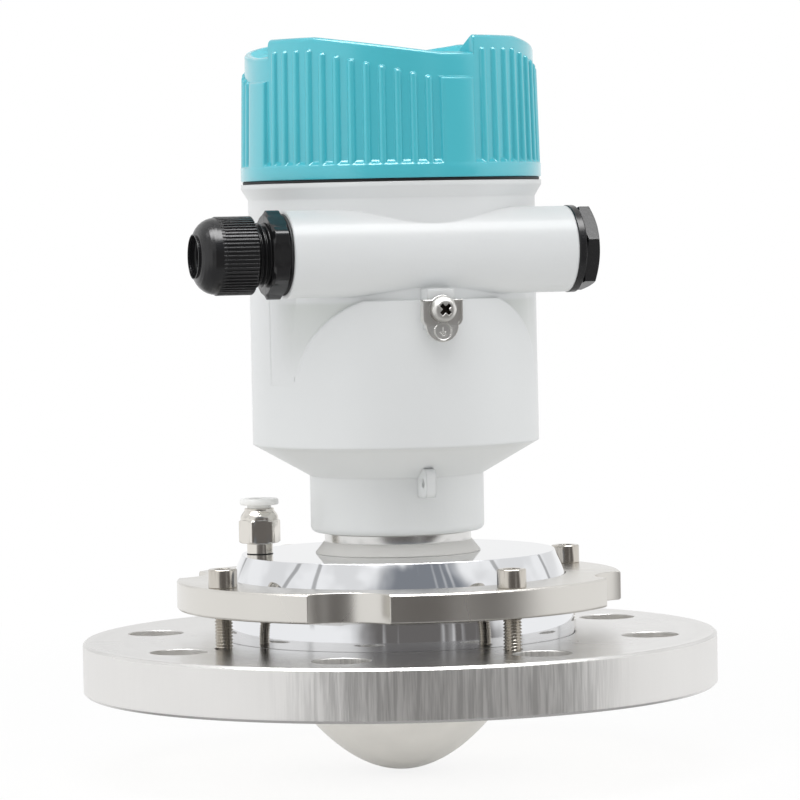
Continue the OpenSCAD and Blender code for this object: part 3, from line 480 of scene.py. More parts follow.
def flangeMetal(name, look):
    # turned faces and an upright-streaked rim on the same plate
    material, w, shader = startMaterial(name, {"Metallic": 1.0})
    rings = useGroup(w, "turnedLines", {"Pitch": look["pitch"]})
    streak = useGroup(w, "rimStreaks", {"Count": look["streaks"], "Stretch": 40.0})["Streak"]
    grain = useGroup(w, "fineGrain", {"Scale": 600.0, "Cloud Scale": 25.0})
    upright = w.calc("ABSOLUTE", w.node("SeparateXYZ", {0: w.node("NewGeometry").outputs["Normal"]}).outputs[2])
    isRim = w.span(upright, 0.6, 0.3)
    face = patchy(w, rings["Band"], look["colour"], look["dull"], 0.35, 0.65)
    # the grinding marks are deepest on the part of the rim that looks out past the earth terminal
    x, y = w.node("SeparateXYZ", {0: w.node("TexCoord").outputs["Object"]}).outputs[:2]
    angle = w.calc("MULTIPLY", w.calc("ARCTAN2", y, x), 180 / math.pi)
    off = w.calc("ABSOLUTE", w.calc("SUBTRACT", angle, look["markedDeg"]))
    marked = w.span(off, look["markedReach"] + 10, look["markedReach"] - 8, smooth=True)
    plain = w.span(marked, 0.0, 1.0, 0.993, look["rimDull"])
    tone = w.grey(w.span(streak, 0.4, 0.6, plain, 1.0))
    wall = w.tint(1.0, opaque(look["rimColour"]), tone, blend="MULTIPLY")
    w.put(shader.inputs["Base Color"], w.tint(isRim, face, wall))
    w.put(shader.inputs["Metallic"], w.span(isRim, 0.0, 1.0, 1.0, look["rimMetal"]))
    level = w.span(isRim, 0.0, 1.0, look["faceRough"], look["rimRough"])
    w.put(shader.inputs["Roughness"], w.calc("MULTIPLY", level, w.span(grain["Cloud"], 0.3, 0.7, 0.88, 1.15)))
    depth = w.span(marked, 0.0, 1.0, look["rimDepth"] * 0.1, look["rimDepth"])
    height = w.tint(isRim, rings["Height"], w.calc("MULTIPLY", streak, depth))
    bump(w, shader, height, look["groove"], roundEdges(w, look["edge"]))
    return material


def mirrorMetal(name, look):
    # metal without tool marks, from a mirror to a satin by its roughness
    material, w, shader = startMaterial(name, {"Metallic": 1.0})
    grain = useGroup(w, "fineGrain", {"Scale": 350.0, "Cloud Scale": 18.0})
    w.put(shader.inputs["Base Color"], patchy(w, grain["Cloud"], look["colour"], 0.97))
    w.put(shader.inputs["Roughness"], patchyRough(w, grain["Cloud"], look["rough"], 0.7, 1.4))
    bump(w, shader, grain["Grain"], look["haze"], roundEdges(w, look["edge"]))
    return material


def mouldedPlastic(name, look):
    material, w, shader = startMaterial(name, {"IOR": look.get("ior", 1.5)})
    grain = useGroup(w, "fineGrain", {"Scale": look["grainScale"], "Cloud Scale": 60.0})
    dust = useGroup(w, "dustSpecks", {"Scale": 700.0, "Amount": look["dust"]})["Mask"]
    base = patchy(w, grain["Cloud"], look["colour"], 0.92)
    w.put(shader.inputs["Base Color"], w.tint(dust, base, (0.6, 0.6, 0.58, 1)))
    w.put(shader.inputs["Roughness"], patchyRough(w, grain["Cloud"], look["rough"], 0.85, 1.2))
    bump(w, shader, grain["Grain"], look["skin"], roundEdges(w, look["edge"]))
    return material


finishLooks = {
    "housingPaint": (paintedCasting, {
        "colour": (0.70, 0.715, 0.72), "rough": 0.40, "specular": 0.3, "coat": 0.17, "coatRough": 0.1,
        "grainScale": 900.0,
        "cloudDark": 0.985, "peel": 0.00002, "edge": 0.0011, "dust": 0.05,
        "recess": (0.078, 0.1215, 0.0434, 0.0449), "recessTint": (0.61, 0.632, 0.618)}),
    "capPaint": (paintedCasting, {
        "colour": (0.058, 0.485, 0.575), "rough": 0.30, "specular": 0.5, "coat": 0.9, "coatRough": 0.16,
        "grainScale": 800.0,
        "cloudDark": 0.97, "peel": 0.000015, "edge": 0.0006, "dust": 0.05, "dullTop": (0.1945, 0.0438)}),
    "flangeSteel": (flangeMetal, {
        "colour": (0.80, 0.79, 0.775), "dull": 0.94, "rimColour": (0.80, 0.79, 0.775), "rimMetal": 0.8,
        "rimDull": 0.72,
        "markedDeg": -97.0, "markedReach": 26.0, "rimDepth": 5.0, "faceRough": 0.25, "rimRough": 0.36,
        "pitch": 0.0003, "streaks": 470.0,
        "groove": 0.00002, "edge": 0.0006}),
    "ringSteel": (mirrorMetal, {
        "colour": (0.74, 0.72, 0.68), "rough": 0.25, "haze": 0.000004, "edge": 0.0005}),
    "neckSteel": (turnedMetal, {
        "colour": (0.75, 0.745, 0.73), "dull": 0.95, "rough": 0.2, "pitch": 0.0002, "groove": 0.00001,
        "edge": 0.0004}),
    "blastedFoot": (mouldedPlastic, {
        "colour": (0.60, 0.595, 0.58), "rough": 0.5, "grainScale": 900.0, "skin": 0.00001, "edge": 0.0004,
        "dust": 0.0}),
    "ballMirror": (mirrorMetal, {
        "colour": (0.84, 0.85, 0.87), "rough": 0.04, "haze": 0.000002, "edge": 0.0004}),
    "screwSteel": (mirrorMetal, {
        "colour": (0.62, 0.585, 0.53), "rough": 0.14, "haze": 0.000004, "edge": 0.00012}),
    "fittingNickel": (mirrorMetal, {
        "colour": (0.78, 0.75, 0.70), "rough": 0.12, "haze": 0.000006, "edge": 0.0004}),
    "platedSteel": (mirrorMetal, {
        "colour": (0.76, 0.75, 0.73), "rough": 0.16, "haze": 0.000006, "edge": 0.0003}),
    "zincSatin": (mirrorMetal, {
        "colour": (0.83, 0.82, 0.79), "rough": 0.36, "haze": 0.00001, "edge": 0.0003}),
    "recessShadow": (mirrorMetal, {
        "colour": (0.055, 0.045, 0.04), "rough": 0.6, "haze": 0.00001, "edge": 0.0002}),
    "moduleBrass": (turnedMetal, {
        "colour": (0.72, 0.58, 0.30), "dull": 0.92, "rough": 0.25, "pitch": 0.0003, "groove": 0.00001,
        "edge": 0.0004}),
    "whitePtfe": (mouldedPlastic, {
        "colour": (0.80, 0.79, 0.77), "rough": 0.42, "grainScale": 700.0, "skin": 0.00001, "edge": 0.0006,
        "dust": 0.0, "ior": 1.38}),
    "discWhite": (mouldedPlastic, {
        "colour": (0.88, 0.88, 0.87), "rough": 0.35, "grainScale": 700.0, "skin": 0.000006,
        "edge": 0.0005, "dust": 0.0}),
    "blackNylon": (mouldedPlastic, {
        "colour": (0.011, 0.011, 0.012), "rough": 0.22, "grainScale": 900.0, "skin": 0.00001,
        "edge": 0.0003, "dust": 0.1}),
    "sealRubber": (mouldedPlastic, {
        "colour": (0.015, 0.015, 0.016), "rough": 0.55, "grainScale": 900.0, "skin": 0.00001,
        "edge": 0.0003, "dust": 0.1}),
    "insertPlastic": (mouldedPlastic, {
        "colour": (0.03, 0.032, 0.036), "rough": 0.45, "grainScale": 700.0, "skin": 0.00002,
        "edge": 0.0004, "dust": 0.1}),
    "terminalPlastic": (mouldedPlastic, {
        "colour": (0.06, 0.26, 0.12), "rough": 0.4, "grainScale": 700.0, "skin": 0.00001, "edge": 0.0004,
        "dust": 0.05}),
}
finishes = {name: make(name, look) for name, (make, look) in finishLooks.items()}
slotFinish = {"ptfe": "whitePtfe", "gland_nylon": "blackNylon"}   # the other slots have finishes of the same name
for entry in record["subparts"]:
    slot = entry["material_slot"]
    first, *rest = slot.split("_")
    finish = slotFinish.get(slot, first + "".join(word.capitalize() for word in rest))
    piece = nodes[entry["node"]]
    piece.data.materials.clear()
    piece.data.materials.append(finishes[finish])
print("finishes on the CAD pieces:", len(record["subparts"]))


def addPiece(name, made, finish, body, replaced=(), creaseDeg=38):
    points, faces = made
    mesh = bpy.data.meshes.new(name)
    mesh.from_pydata([tuple(c * mm for c in point) for point in points], [], faces)
    mesh.validate()
    shape = bmesh.new()
    shape.from_mesh(mesh)
    bmesh.ops.recalc_face_normals(shape, faces=shape.faces)
    shape.to_mesh(mesh)
    shape.free()
    mesh.polygons.foreach_set("use_smooth", [True] * len(mesh.polygons))
    mesh.set_sharp_from_angle(angle=math.radians(creaseDeg))
    mesh.materials.append(finishes[finish])
    piece = bpy.data.objects.new(name, mesh)
    scene.collection.objects.link(piece)
    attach(piece, body)
    if replaced:
        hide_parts(*replaced)
    return piece


def loft(rings):
    # skins closed rings of points, all of the same length; a ring of one point is a pole
    points, faces, starts = [], [], []
    for ring in rings:
        starts.append(len(points))
        points += ring
    for k in range(len(rings) - 1):
        low, high, a, b = rings[k], rings[k + 1], starts[k], starts[k + 1]
        count = max(len(low), len(high))
        for i in range(count):
            j = (i + 1) % count
            if len(low) == 1:
                faces.append((a, b + j, b + i))
            elif len(high) == 1:
                faces.append((a + i, a + j, b))
            else:
                faces.append((a + i, a + j, b + j, b + i))
    return points, faces


def softMax(a, b, width):
    gap = abs(a - b)
    return max(a, b) + ((width - gap) ** 2 / (4 * width) if gap < width else 0)


def blendTo(value, low, high):
    return min(1.0, max(0.0, (value - low) / (high - low)))


capShape = {   # millimetres and degrees; the angles are those of one lobe
    "low": 159.9, "bandR": 47.2, "bandTop": 164.1, "ledgeTop": 166.1, "wallLowR": 45.7, "wallHighR": 45.3,
    "wallTop": 195.0, "crest": 203.3, "valley": 198.0, "edge": 1.2, "phaseDeg": 17.8, "lobes": 4,
    "crestDeg": 25.0, "rampDeg": 75.0, "crestInR": 43.8, "lipR": 38.0, "lipZ": 199.3, "dishR": 34.0, "dishZ": 195.2,
    "ribs": 12, "ribStartDeg": 4.35, "ribPitchDeg": 6.0, "ribR": 1.15, "ribTop": 199.6, "ribFall": 1.08,
    "ribFlat": 3, "ribAxisR": 45.85, "draftFromZ": 163.6, "draftDeg": 1.3, "fillet": 0.45,
    "padFromDeg": 75.0, "padToDeg": 89.0, "padTop": 190.4, "padLowR": 47.1, "padHighR": 46.45, "padEdge": 0.7,
    "padFillet": 0.3, "ledgeFillet": 0.25, "ledgeCurve": 1.6, "topR": 44.5, "stepR": 45.0,
}


def capRibTop(i):
    return capShape["ribTop"] - max(0, i - capShape["ribFlat"]) * capShape["ribFall"]


def capBeadHeight(deg):
    # height of the centres of the ribs' ball noses, run on between the ribs; the pad has its own
    c = capShape
    if deg > c["padFromDeg"] - 1:
        return c["padTop"] - c["padEdge"]
    at = (deg - c["ribStartDeg"]) / c["ribPitchDeg"]
    i = min(c["ribs"] - 1, max(0, math.floor(at)))
    share = blendTo(at - i, 0.36, 0.64)
    following = min(c["ribs"] - 1, i + 1)
    return capRibTop(i) * (1 - share) + capRibTop(following) * share - c["ribR"]


def capWall(deg, z):
    # the cap's outside radius at a height: drafted wall, ribs, pad and the sloped ledge over the band
    c = capShape
    share = (z - c["bandTop"]) / (c["wallTop"] - c["bandTop"])
    radius = c["wallLowR"] + (c["wallHighR"] - c["wallLowR"]) * min(1.1, share)
    axis = c["ribAxisR"] - (z - c["draftFromZ"]) * math.tan(math.radians(c["draftDeg"]))
    i = round((deg - c["ribStartDeg"]) / c["ribPitchDeg"])
    if 0 <= i < c["ribs"]:
        off = math.radians(deg - c["ribStartDeg"] - i * c["ribPitchDeg"]) * axis
        reach = math.hypot(off, max(0.0, z - (capRibTop(i) - c["ribR"])))
        ribR = c["ribR"]
        rise = math.sqrt(ribR ** 2 - reach ** 2) if reach < ribR else 3 * (ribR - reach)
        radius = softMax(radius, axis + rise, c["fillet"])
    middle, half = (c["padFromDeg"] + c["padToDeg"]) / 2, (c["padToDeg"] - c["padFromDeg"]) / 2
    if abs(deg - middle) < half + 2:
        face = c["padLowR"] + (c["padHighR"] - c["padLowR"]) * (z - c["bandTop"]) / (c["padTop"] - c["bandTop"])
        past = max(math.radians(abs(deg - middle) - half) * axis, z - c["padTop"]) + c["padEdge"]
        if past > 0:
            edge = c["padEdge"]
            face -= edge - math.sqrt(edge ** 2 - past ** 2) if past < edge else edge + 3 * (past - edge)
        radius = softMax(radius, face, c["padFillet"])
    rise = blendTo(z, c["bandTop"], c["ledgeTop"])
    # the ledge starts and ends a little inside the wall and the band, so that both meet it softly
    ledge = c["wallLowR"] - 0.3 + (c["bandR"] + 0.3 - c["wallLowR"]) * (1 - rise) ** c["ledgeCurve"]
    if rise == 1:
        ledge -= 0.5
    return min(softMax(radius, ledge, c["ledgeFillet"]), c["bandR"])


def capRoof(deg, radius):
    # the height of the crown's top: crest, ramp and valley, with the slope down into the dish
    c = capShape
    height = c["crest"]
    if radius < c["crestInR"]:
        height -= (c["crestInR"] - radius) * (c["crest"] - c["lipZ"]) / (c["crestInR"] - c["lipR"])
    if radius < c["lipR"]:
        height = c["lipZ"] - (c["lipR"] - radius) * (c["lipZ"] - c["dishZ"]) / (c["lipR"] - c["dishR"])
    middle = (c["crestDeg"] + c["rampDeg"]) / 2
    half = math.sin(math.radians((c["rampDeg"] - c["crestDeg"]) / 2))
    drop = c["crest"] - c["valley"]
    slant = math.sin(math.radians(deg - middle)) / half
    plane = (c["crest"] + c["valley"]) / 2 - drop / 2 * radius / c["wallHighR"] * slant
    cut = max(c["valley"], plane) if deg > c["crestDeg"] - 6 else c["crest"]
    if deg > 90:
        cut = c["valley"]
    return max(c["dishZ"], min(height, cut))


def capAngles():
    # the angles of one lobe: close together over each rib, each pad edge and the step
    c = capShape
    half = math.degrees(c["ribR"] / c["ribAxisR"])
    found = [0.0, 0.2, 0.45, 0.75, 1.2]
    for i in range(c["ribs"]):
        middle = c["ribStartDeg"] + i * c["ribPitchDeg"]
        for share in (0, 0.3, 0.55, 0.75, 0.88, 0.96, 1.02, 1.12, 1.3, 1.6):
            found += [middle - half * share, middle + half * share] if share else [middle]
    for edge in (c["padFromDeg"], c["padToDeg"]):
        found += [edge + step for step in (-0.5, -0.25, -0.1, 0, 0.12, 0.25, 0.45, 0.7)]
        found += [edge - 0.85, edge - 0.65]
    found += [77, 79, 81, 83, 85, 87, 89.985]
    return sorted(set(round(a, 4) for a in found))


def makeCap():
    c = capShape
    low, bandR, edge = c["low"], c["bandR"], c["edge"]
    # radius and height up the hollow inside, then round the band's lower edge
    inside = [(0, 192), (20, 192), (33.5, 192), (37.6, 190.9), (40.4, 188), (41.5, 184), (41.5, 169.1),
              (43.2, 169.1), (43.2, low + 0.5), (43.7, low), (bandR - 0.3, low), (bandR - 0.1, low + 0.1),
              (bandR, low + 0.3), (bandR, c["bandTop"] - 0.3), (bandR - 0.05, c["bandTop"] - 0.1)]
    columns = []
    for lobe in range(c["lobes"]):
        for deg in capAngles():
            turn = math.radians(c["phaseDeg"] + lobe * 90 + deg)
            bead = capBeadHeight(deg)
            # the step's edge is rounded like the rest
            onset, step = math.radians(deg) * c["stepR"], edge * 0.5
            lift = 0 if onset > step else step - math.sqrt(max(0, step ** 2 - (step - onset) ** 2))
            top = capRoof(deg, c["topR"]) - lift
            heights = [c["bandTop"] + rise for rise in (0.15, 0.5, 0.9, 1.3, 1.7, 2.0, 2.2, 2.4, 2.8, 3.6, 7)]
            heights += [heights[-1] + (bead - 1.2 - heights[-1]) * share for share in (0.35, 0.7, 1.0)]
            heights += [bead - 0.35, bead]
            heights += [bead + c["ribR"] * share for share in (0.25, 0.45, 0.6, 0.72, 0.82, 0.9, 0.96, 1.01, 1.1, 1.3)]
            start = heights[-1]
            heights += [start + (top - edge - start) * share for share in (0.35, 0.7, 1.0)]
            profile = inside + [(capWall(deg, z), z) for z in heights]
            outer = profile[-1][0]
            for bend in (18, 36, 54, 72, 90):
                a = math.radians(bend)
                profile.append((outer - edge * (1 - math.cos(a)), top - edge * (1 - math.sin(a))))
            profile += [(r, capRoof(deg, r) - lift * blendTo(r, c["dishR"] + 0.5, c["lipR"])) for r in
                        (43.6, 42.5, 41.2, 39.8, 38.5, 38.0, 37.5, 36.9, 36.4, 35.6, 34.6, 34.0, 33.4, 24.0, 12.0)]
            columns.append([(r * math.cos(turn), r * math.sin(turn), z) for r, z in profile])
    rings = [[column[k] for column in columns] for k in range(1, len(columns[0]))]
    made = loft([[(0, 0, inside[0][1])]] + rings + [[(0, 0, c["dishZ"])]])
    addPiece("ratchetCap", made, "capPaint", "cap", ["cap"], creaseDeg=50)


makeCap()
print("ratchet cap shaped")


def lathe(profile, count=96):
    # turns (radius, height) pairs about Z; a radius may be a function of angle and height
    rings = []
    for radius, z in profile:
        if radius == 0:
            rings.append([(0, 0, z)])
            continue
        ring = []
        for i in range(count):
            a = math.tau * i / count
            r = radius(a, z) if callable(radius) else radius
            ring.append((r * math.cos(a), r * math.sin(a), z))
        rings.append(ring)
    return rings


def turned(profile, count=96, hollow=False):
    rings = lathe(profile, count)
    return loft(rings + [rings[0]] if hollow else rings)


def moved(made, matrix):
    points, faces = made
    return [tuple(matrix @ Vector(point)) for point in points], faces


def joined(parts):
    points, faces = [], []
    for some, skins in parts:
        start = len(points)
        points += some
        faces += [tuple(start + k for k in face) for face in skins]
    return points, faces


def block(low, high, edge):
    # a box with its edges broken
    shape = bmesh.new()
    bmesh.ops.create_cube(shape, size=1)
    middle = [(a + b) / 2 for a, b in zip(low, high)]
    for vertex in shape.verts:
        vertex.co = [m + c * (b - a) for m, c, a, b in zip(middle, vertex.co, low, high)]
    bmesh.ops.bevel(shape, geom=list(shape.edges), offset=edge, segments=2, affect="EDGES", profile=0.5)
    shape.verts.index_update()
    made = [tuple(v.co) for v in shape.verts], [tuple(v.index for v in f.verts) for f in shape.faces]
    shape.free()
    return made


def hexRadius(flats, limit=1e9, turnDeg=0):
    # a hexagon's radius at an angle, its corners held inside a circle
    def radius(a, z):
        off = math.fmod(a - math.radians(turnDeg) + math.tau, math.pi / 3) - math.pi / 6
        return min(flats / 2 / math.cos(off), limit)
    return radius


def threadRadius(root, crest, pitch):
    # a screw thread's radius at an angle and height
    def radius(a, z):
        share = math.fmod(z / pitch - a / math.tau + 100, 1.0)
        return root + (crest - root) * blendTo(1 - abs(2 * share - 1), 0.1, 0.85)
    return radius


def steps(start, end, size):
    count = round(abs(end - start) / size)
    return [start + (end - start) * i / count for i in range(count + 1)]


clampScrew = {
    "circleR": 64.0, "firstDeg": 15.14, "spin": 2.3, "seat": 35.2, "tip": 5.2, "headR": 4.5, "headH": 5.8,
    "socket": 5.0, "socketR": 3.2, "socketDeg": 12, "socketDepth": 2.9,
    "root": 2.38, "crest": 2.86, "pitch": 1.0, "threadFrom": 15.2, "threadTo": 27.0,
}


def makeClampScrews():
    s = clampScrew
    root, crest, seat, headR = s["root"], s["crest"], s["seat"], s["headR"]
    top = seat + s["headH"]
    thread = threadRadius(root, crest, s["pitch"])
    socket = hexRadius(s["socket"], turnDeg=s["socketDeg"])
    profile = [(0, s["tip"]), (root - 0.4, s["tip"]), (root, s["tip"] + 0.4), (root, s["threadFrom"] - 0.1)]
    profile += [(thread, z) for z in steps(s["threadFrom"], s["threadTo"], 0.11)]
    profile += [(crest, s["threadTo"] + 0.1), (crest, seat), (headR - 0.15, seat), (headR, seat + 0.15),
                (headR, top - 0.5), (headR - 0.1, top - 0.2), (headR - 0.35, top - 0.03), (headR - 0.6, top),
                (s["socketR"], top), (socket, top - 0.15), (socket, top - s["socketDepth"]),
                (0, top - s["socketDepth"] - 0.5)]
    made = turned(profile, 36)
    parts = []
    for i in range(4):
        a = math.radians(s["firstDeg"] + 90 * i)
        spot = Matrix.Translation((s["circleR"] * math.cos(a), s["circleR"] * math.sin(a), 0))
        parts.append(moved(made, spot @ Matrix.Rotation(a * s["spin"], 4, "Z")))
    addPiece("clampScrews", joined(parts), "screwSteel", "flange", ["clamp_screws"])


neckShape = {
    "profile": [
        (9, 36.7), (18, 36.7), (18, 42.7), (25.9, 42.7), (26.0, 42.75), (26.0, 43.0), (25.85, 43.2), (23.25, 46.45),
        (23.1, 46.75), (23.1, 49.0), (22.9, 49.25), (22.7, 49.3), (20, 49.3), (20, 57.2), (18.2, 57.2), (18.2, 59.4),
        (20, 59.4), (20, 62.2), (18, 62.2), (18, 68), (20, 68), (20, 70.6), (19, 71.6), (14.9, 71.6), (14.9, 45.2),
        (9, 45.2)],
    "blastedTop": 46.5,    # the foot's flare is blasted dull up to here, and from here outwards
    "blastedR": 23,
}


def makeNeck():
    # the steel spigot with its flared foot on the ball
    made = turned(neckShape["profile"], 144, hollow=True)
    neck = addPiece("neckSpigot", made, "neckSteel", "ball", ["neck_spigot"], creaseDeg=30)
    neck.data.materials.append(finishes["blastedFoot"])
    for face in neck.data.polygons:
        outward = Vector((face.center.x, face.center.y)).length > neckShape["blastedR"] * mm
        if outward and face.center.z < neckShape["blastedTop"] * mm and face.normal.z > -0.2:
            face.material_index = 1


purgeShape = {
    "circleR": 43.6, "turnDeg": 162.8, "flats": 11.5, "cornerR": 6.6, "endR": 5.95, "hexDeg": -127.7,
    "hexFrom": 46.2, "hexTo": 53.5, "footR": 4.1,
    "seal": [(4.02, 42.72), (4.12, 42.72), (4.16, 42.84), (4.12, 42.95), (4.02, 42.95)],
    "disc": [(3.1, 55.0), (3.8, 55.0), (3.82, 58.25), (5.8, 58.25), (6.05, 58.4), (6.15, 58.75), (6.15, 59.4),
             (6.05, 59.85), (5.75, 60.12), (5.4, 60.2), (3.7, 60.2), (3.3, 60.05), (3.1, 59.7)],
}


def makePurgeFitting():
    p = purgeShape
    hexFull, hexEnd = (hexRadius(p["flats"], limit, p["hexDeg"]) for limit in (p["cornerR"], p["endR"]))
    footR, low, high = p["footR"], p["hexFrom"], p["hexTo"]
    profile = [(1.6, 34.9), (footR - 0.1, 34.9), (footR - 0.1, 42.7), (footR, 42.75), (footR, low - 0.25), (4.6, low),
               (hexEnd, low), (hexFull, low + 0.4), (hexFull, high - 0.4), (hexEnd, high),
               # the rounded shoulder, then down the bore
               (5.98, 53.55), (6.0, 54.0), (5.93, 54.5), (5.7, 55.05), (5.35, 55.6), (4.98, 56.05), (4.76, 56.3),
               (4.7, 56.55), (4.68, 57.0), (4.5, 57.2), (3.95, 57.2), (3.9, 53.6), (4.05, 53.4), (4.05, 51.3),
               (3.1, 51.3), (3.1, 45.2), (1.6, 45.2)]
    turn = math.radians(p["turnDeg"])
    spot = Matrix.Translation((p["circleR"] * math.cos(turn), p["circleR"] * math.sin(turn), 0))
    body = moved(turned(profile, 96, hollow=True), spot)
    addPiece("purgeFitting", body, "fittingNickel", "ball", ["purge_fitting"], creaseDeg=28)
    seal = moved(turned(p["seal"], 48, hollow=True), spot)
    addPiece("purgeFootSeal", seal, "sealRubber", "ball")
    disc = moved(turned(p["disc"], 64, hollow=True), spot)
    addPiece("purgeCollet", disc, "discWhite", "release_disc", ["purge_collet"])


earthScrewShape = {
    "z": 119.8, "seat": 51.5, "headR": 4.1, "headH": 2.5, "headRound": 1.7, "dome": 0.35, "rimH": 0.3,
    "armHalf": 0.62, "armFlare": 0.25, "flareR": 0.9, "armFloor": 0.42, "armEnd": 2.05, "armFloorEnd": 1.75,
    "crossDepth": 1.7, "sides": 120,
    "washers": [(2.1, 50.4), (4.3, 50.4), (4.35, 50.55), (4.3, 50.75), (3.9, 50.8), (3.9, 51.42), (3.8, 51.5),
                (2.1, 51.5)],
}


def crossHalf(far):
    # half the width of an arm of the cross recess, wider towards the middle
    s = earthScrewShape
    return s["armHalf"] + s["armFlare"] * (s["flareR"] - min(far, s["flareR"]))


def earthHeadHeight(r, a):
    # how far a point on the pan head stands out from its seat
    s = earthScrewShape
    rim = max(0.0, r - (s["headR"] - s["headRound"]))
    drop = s["headRound"] - math.sqrt(max(0.0, s["headRound"] ** 2 - rim ** 2))
    level = s["headH"] - s["dome"] * (r / s["headR"]) ** 2 - drop * (s["headH"] - s["rimH"]) / s["headRound"]
    near, far = sorted((abs(r * math.cos(a - math.pi / 4)), abs(r * math.sin(a - math.pi / 4))))
    cross = blendTo(near, crossHalf(far), s["armFloor"]) * blendTo(far, s["armEnd"], s["armFloorEnd"])
    return level - s["crossDepth"] * cross * (1 - 0.25 * r / 2)


def makeEarthScrew():
    # pan head with a cross recess; local Z points out of the housing
    s = earthScrewShape
    spot = Matrix.Translation((0, 0, s["z"])) @ Matrix.Rotation(math.radians(90), 4, "X")
    seat, headR, sides = s["seat"], s["headR"], s["sides"]
    rings = [[(0, 0, seat - 8)]]
    rings += lathe([(1.9, seat - 8), (1.95, seat), (headR - 0.15, seat), (headR, seat + 0.15)], sides)
    for r in (headR, 4.05, 3.95, 3.8, 3.6, 3.3, 2.9, 2.5, 2.2, 2.08, 1.98, 1.88, 1.78,
              1.6, 1.4, 1.2, 1.0, 0.8, 0.6, 0.4, 0.2):
        turns = [math.tau * i / sides for i in range(sides)]
        rings.append([(r * math.cos(a), r * math.sin(a), seat + earthHeadHeight(r, a)) for a in turns])
    rings.append([(0, 0, seat + earthHeadHeight(0, 0))])
    made = moved(loft(rings), spot)
    screw = addPiece("earthScrew", made, "zincSatin", "earth_screw", ["earth_screw"], creaseDeg=45)
    # the recess lies in its own shade
    screw.data.materials.append(finishes["recessShadow"])
    slant = 0.7071
    for polygon in screw.data.polygons:
        x, y, z = polygon.center / mm
        off = Vector((x, z - s["z"]))
        near, far = sorted((abs(off.dot(Vector((slant, slant)))), abs(off.dot(Vector((slant, -slant))))))
        if -y > seat + 0.3 and near < crossHalf(far) and far < s["armEnd"] - 0.1:
            polygon.material_index = 1
    washers = moved(turned(s["washers"], 96, hollow=True), spot)
    addPiece("earthWashers", washers, "platedSteel", "earth_clamp", ["earth_washers"])


earthPlateShape = {
    "front": -50.4, "back": -49.26, "half": 6.3, "top": 122.7, "wall": 0.6, "lip": 0.7, "skirt": 1.0, "inset": 0.97,
    "tabZ": 115.0, "tabR": 5.25, "tabTop": 1.2, "tabT": 1.0, "tabLeanDeg": 7, "ringY": -2.2,
    "markBars": ((1.9, -2.4), (1.3, -2.95), (0.7, -3.5)),   # width and place of the earth sign's bars
}


def makeEarthPlate():
    # a small tray of sheet steel, its sides drawn in to a round marked tab below
    p = earthPlateShape
    front, back, half, top, wall = p["front"], p["back"], p["half"], p["top"], p["wall"]
    drawn = [(half, top), (half, 117.0), (half - 0.15, 116.3), (half - 0.5, 115.6), (half - 1.0, p["tabZ"])]
    outline = drawn + [(-x, z) for x, z in reversed(drawn)]
    skins = [[(x * p["inset"], y, z) for x, z in outline] for y in (front, back)]
    parts = [loft([[(0, front, 118.5)]] + skins + [[(0, back, 118.5)]])]
    near, deep = front - p["lip"], back + p["skirt"]
    for side in (-1, 1):
        rings = []
        for x, z in drawn:
            out, within = side * x, side * x - side * wall
            rings.append([(out, near, z), (out, deep, z), (within, deep, z), (within, near, z)])
        ends = [[(rings[k][0][0] - side * wall / 2, -50.0, rings[k][0][2])] for k in (0, -1)]
        parts.append(loft([ends[0]] + rings + [ends[1]]))
    parts.append(block((-half, near, top - wall), (half, back, top), 0.15))
    tabR, thick = p["tabR"], p["tabT"]
    turns = [math.pi + math.pi * i / 32 for i in range(33)]
    around = [(tabR * math.cos(a), tabR * math.sin(a)) for a in turns]
    around = [(-tabR, p["tabTop"])] + around + [(tabR, p["tabTop"])]
    inner = [(x * p["inset"], y * p["inset"] if y < 0 else y) for x, y in around]
    tab = loft([[(0, -1, 0)], [(x, y, 0) for x, y in around], [(x, y, thick - 0.15) for x, y in around],
                [(x, y, thick) for x, y in inner], [(0, -1, thick)]])
    low, high = thick - 0.05, thick + 0.16
    ring = turned([(2.45, low), (2.52, thick + 0.2), (2.8, thick + 0.2), (2.87, low)], 48, hollow=True)
    marks = [tab, moved(ring, Matrix.Translation((0, p["ringY"], 0)))]
    for width, y in p["markBars"]:
        marks.append(block((-width / 2, y - 0.12, low), (width / 2, y + 0.12, high), 0.04))
    marks.append(block((-0.14, -2.4, low), (0.14, -0.8, high), 0.04))
    lean = Matrix.Translation((0, back - 0.15, p["tabZ"])) @ Matrix.Rotation(math.radians(90 - p["tabLeanDeg"]), 4, "X")
    parts.append(moved(joined(marks), lean))
    addPiece("earthPlate", joined(parts), "zincSatin", "earth_clamp", ["earth_plate"], creaseDeg=25)


recessShape = {
    "footZ": 96.4, "fullZ": 122.7, "topZ": 137.2, "flushR": 45.1, "floorR": 43.2, "sideDeg": 75.3, "rampDeg": 15.0,
    "rootR": 42.9, "lap": 0.03, "columns": 24,
}


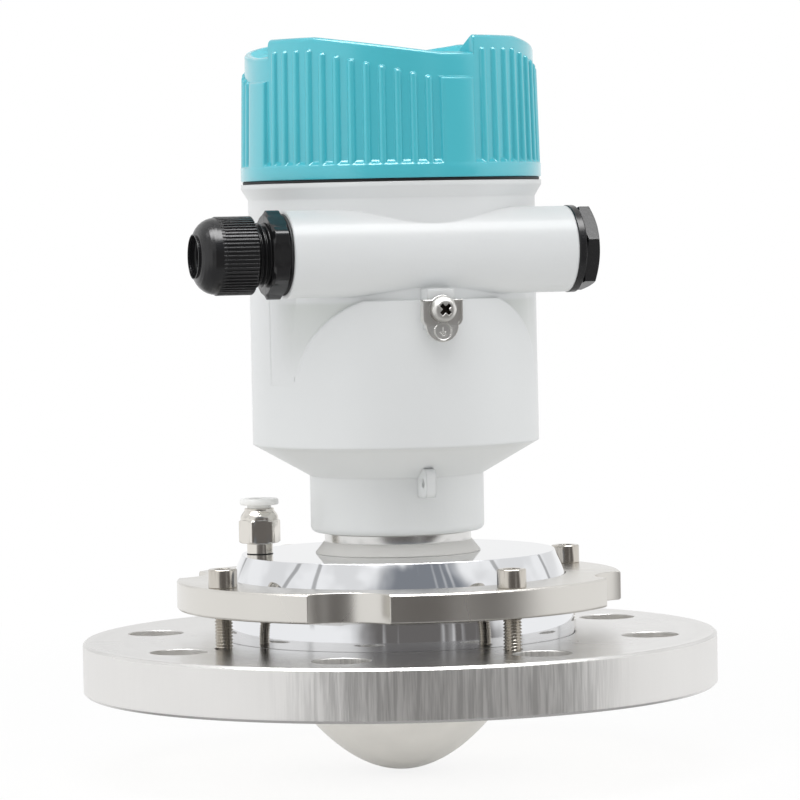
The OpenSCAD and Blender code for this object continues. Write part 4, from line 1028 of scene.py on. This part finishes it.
def makeRecessRunouts():
    # the recess round the front panel runs out softly at its two sides
    r = recessShape
    foot, full = r["footZ"], r["fullZ"]
    parts = []
    for side in (-1, 1):
        rings = []
        for z in steps(foot, full, 2.6) + steps(full, r["topZ"], 4.8)[1:]:
            floorR = r["flushR"] + (r["floorR"] - r["flushR"]) * blendTo(z, foot, full)
            outer, inner = [], []
            for share in steps(0, 1, 1 / r["columns"]):
                angle = math.radians(r["sideDeg"] - r["rampDeg"] * (1 - share))
                ease = share * share * (3 - 2 * share)
                lift = r["lap"] * blendTo(z, foot + 1, foot + 8)
                radius = floorR - r["lap"] + (r["flushR"] + lift - floorR) * ease
                outer.append((side * radius * math.sin(angle), -radius * math.cos(angle), z))
                inner.append((side * r["rootR"] * math.sin(angle), -r["rootR"] * math.cos(angle), z))
            rings.append(outer + inner[::-1])
        ends = [[tuple(sum(c) / len(ring) for c in zip(*ring))] for ring in (rings[0], rings[-1])]
        parts.append(loft([ends[0]] + rings + [ends[1]]))
    addPiece("recessRunouts", joined(parts), "housingPaint", "housing")


glandShape = {
    "place": (0, -35, 137.2), "flats": 24, "cornerR": 13.55, "endR": 12.1, "hexFrom": 46.1, "hexTo": 51.6,
    "root": 8.8, "crest": 9.9, "pitch": 1.6, "threadFrom": 51.7, "threadTo": 57.4, "boreR": 6.5,
}


def makeGlandBody():
    g = glandShape
    hexFull, hexEnd = hexRadius(g["flats"], g["cornerR"]), hexRadius(g["flats"], g["endR"])
    thread = threadRadius(g["root"], g["crest"], g["pitch"])
    low, high, root = g["hexFrom"], g["hexTo"], g["root"]
    profile = [(g["boreR"], 36.3), (8.6, 36.3), (9.2, 37.0), (9.2, low), (hexEnd, low), (hexFull, low + 0.7),
               (hexFull, high - 0.7), (hexEnd, high), (9.3, high)]
    profile += [(thread, z) for z in steps(g["threadFrom"], g["threadTo"], 0.16)]
    profile += [(root, g["threadTo"] + 0.1), (root, 63.9), (8.3, 63.9), (8.3, high), (g["boreR"], high)]
    spot = Matrix.Translation(g["place"]) @ Matrix.Rotation(math.radians(-90), 4, "Y")
    made = moved(turned(profile, 96, hollow=True), spot)
    addPiece("glandBody", made, "blackNylon", "housing", ["gland_body"], creaseDeg=28)


makeClampScrews()
makeNeck()
makePurgeFitting()
makeEarthScrew()
makeEarthPlate()
makeGlandBody()
makeRecessRunouts()
print("screws, neck, fitting, earth terminal and gland body shaped")
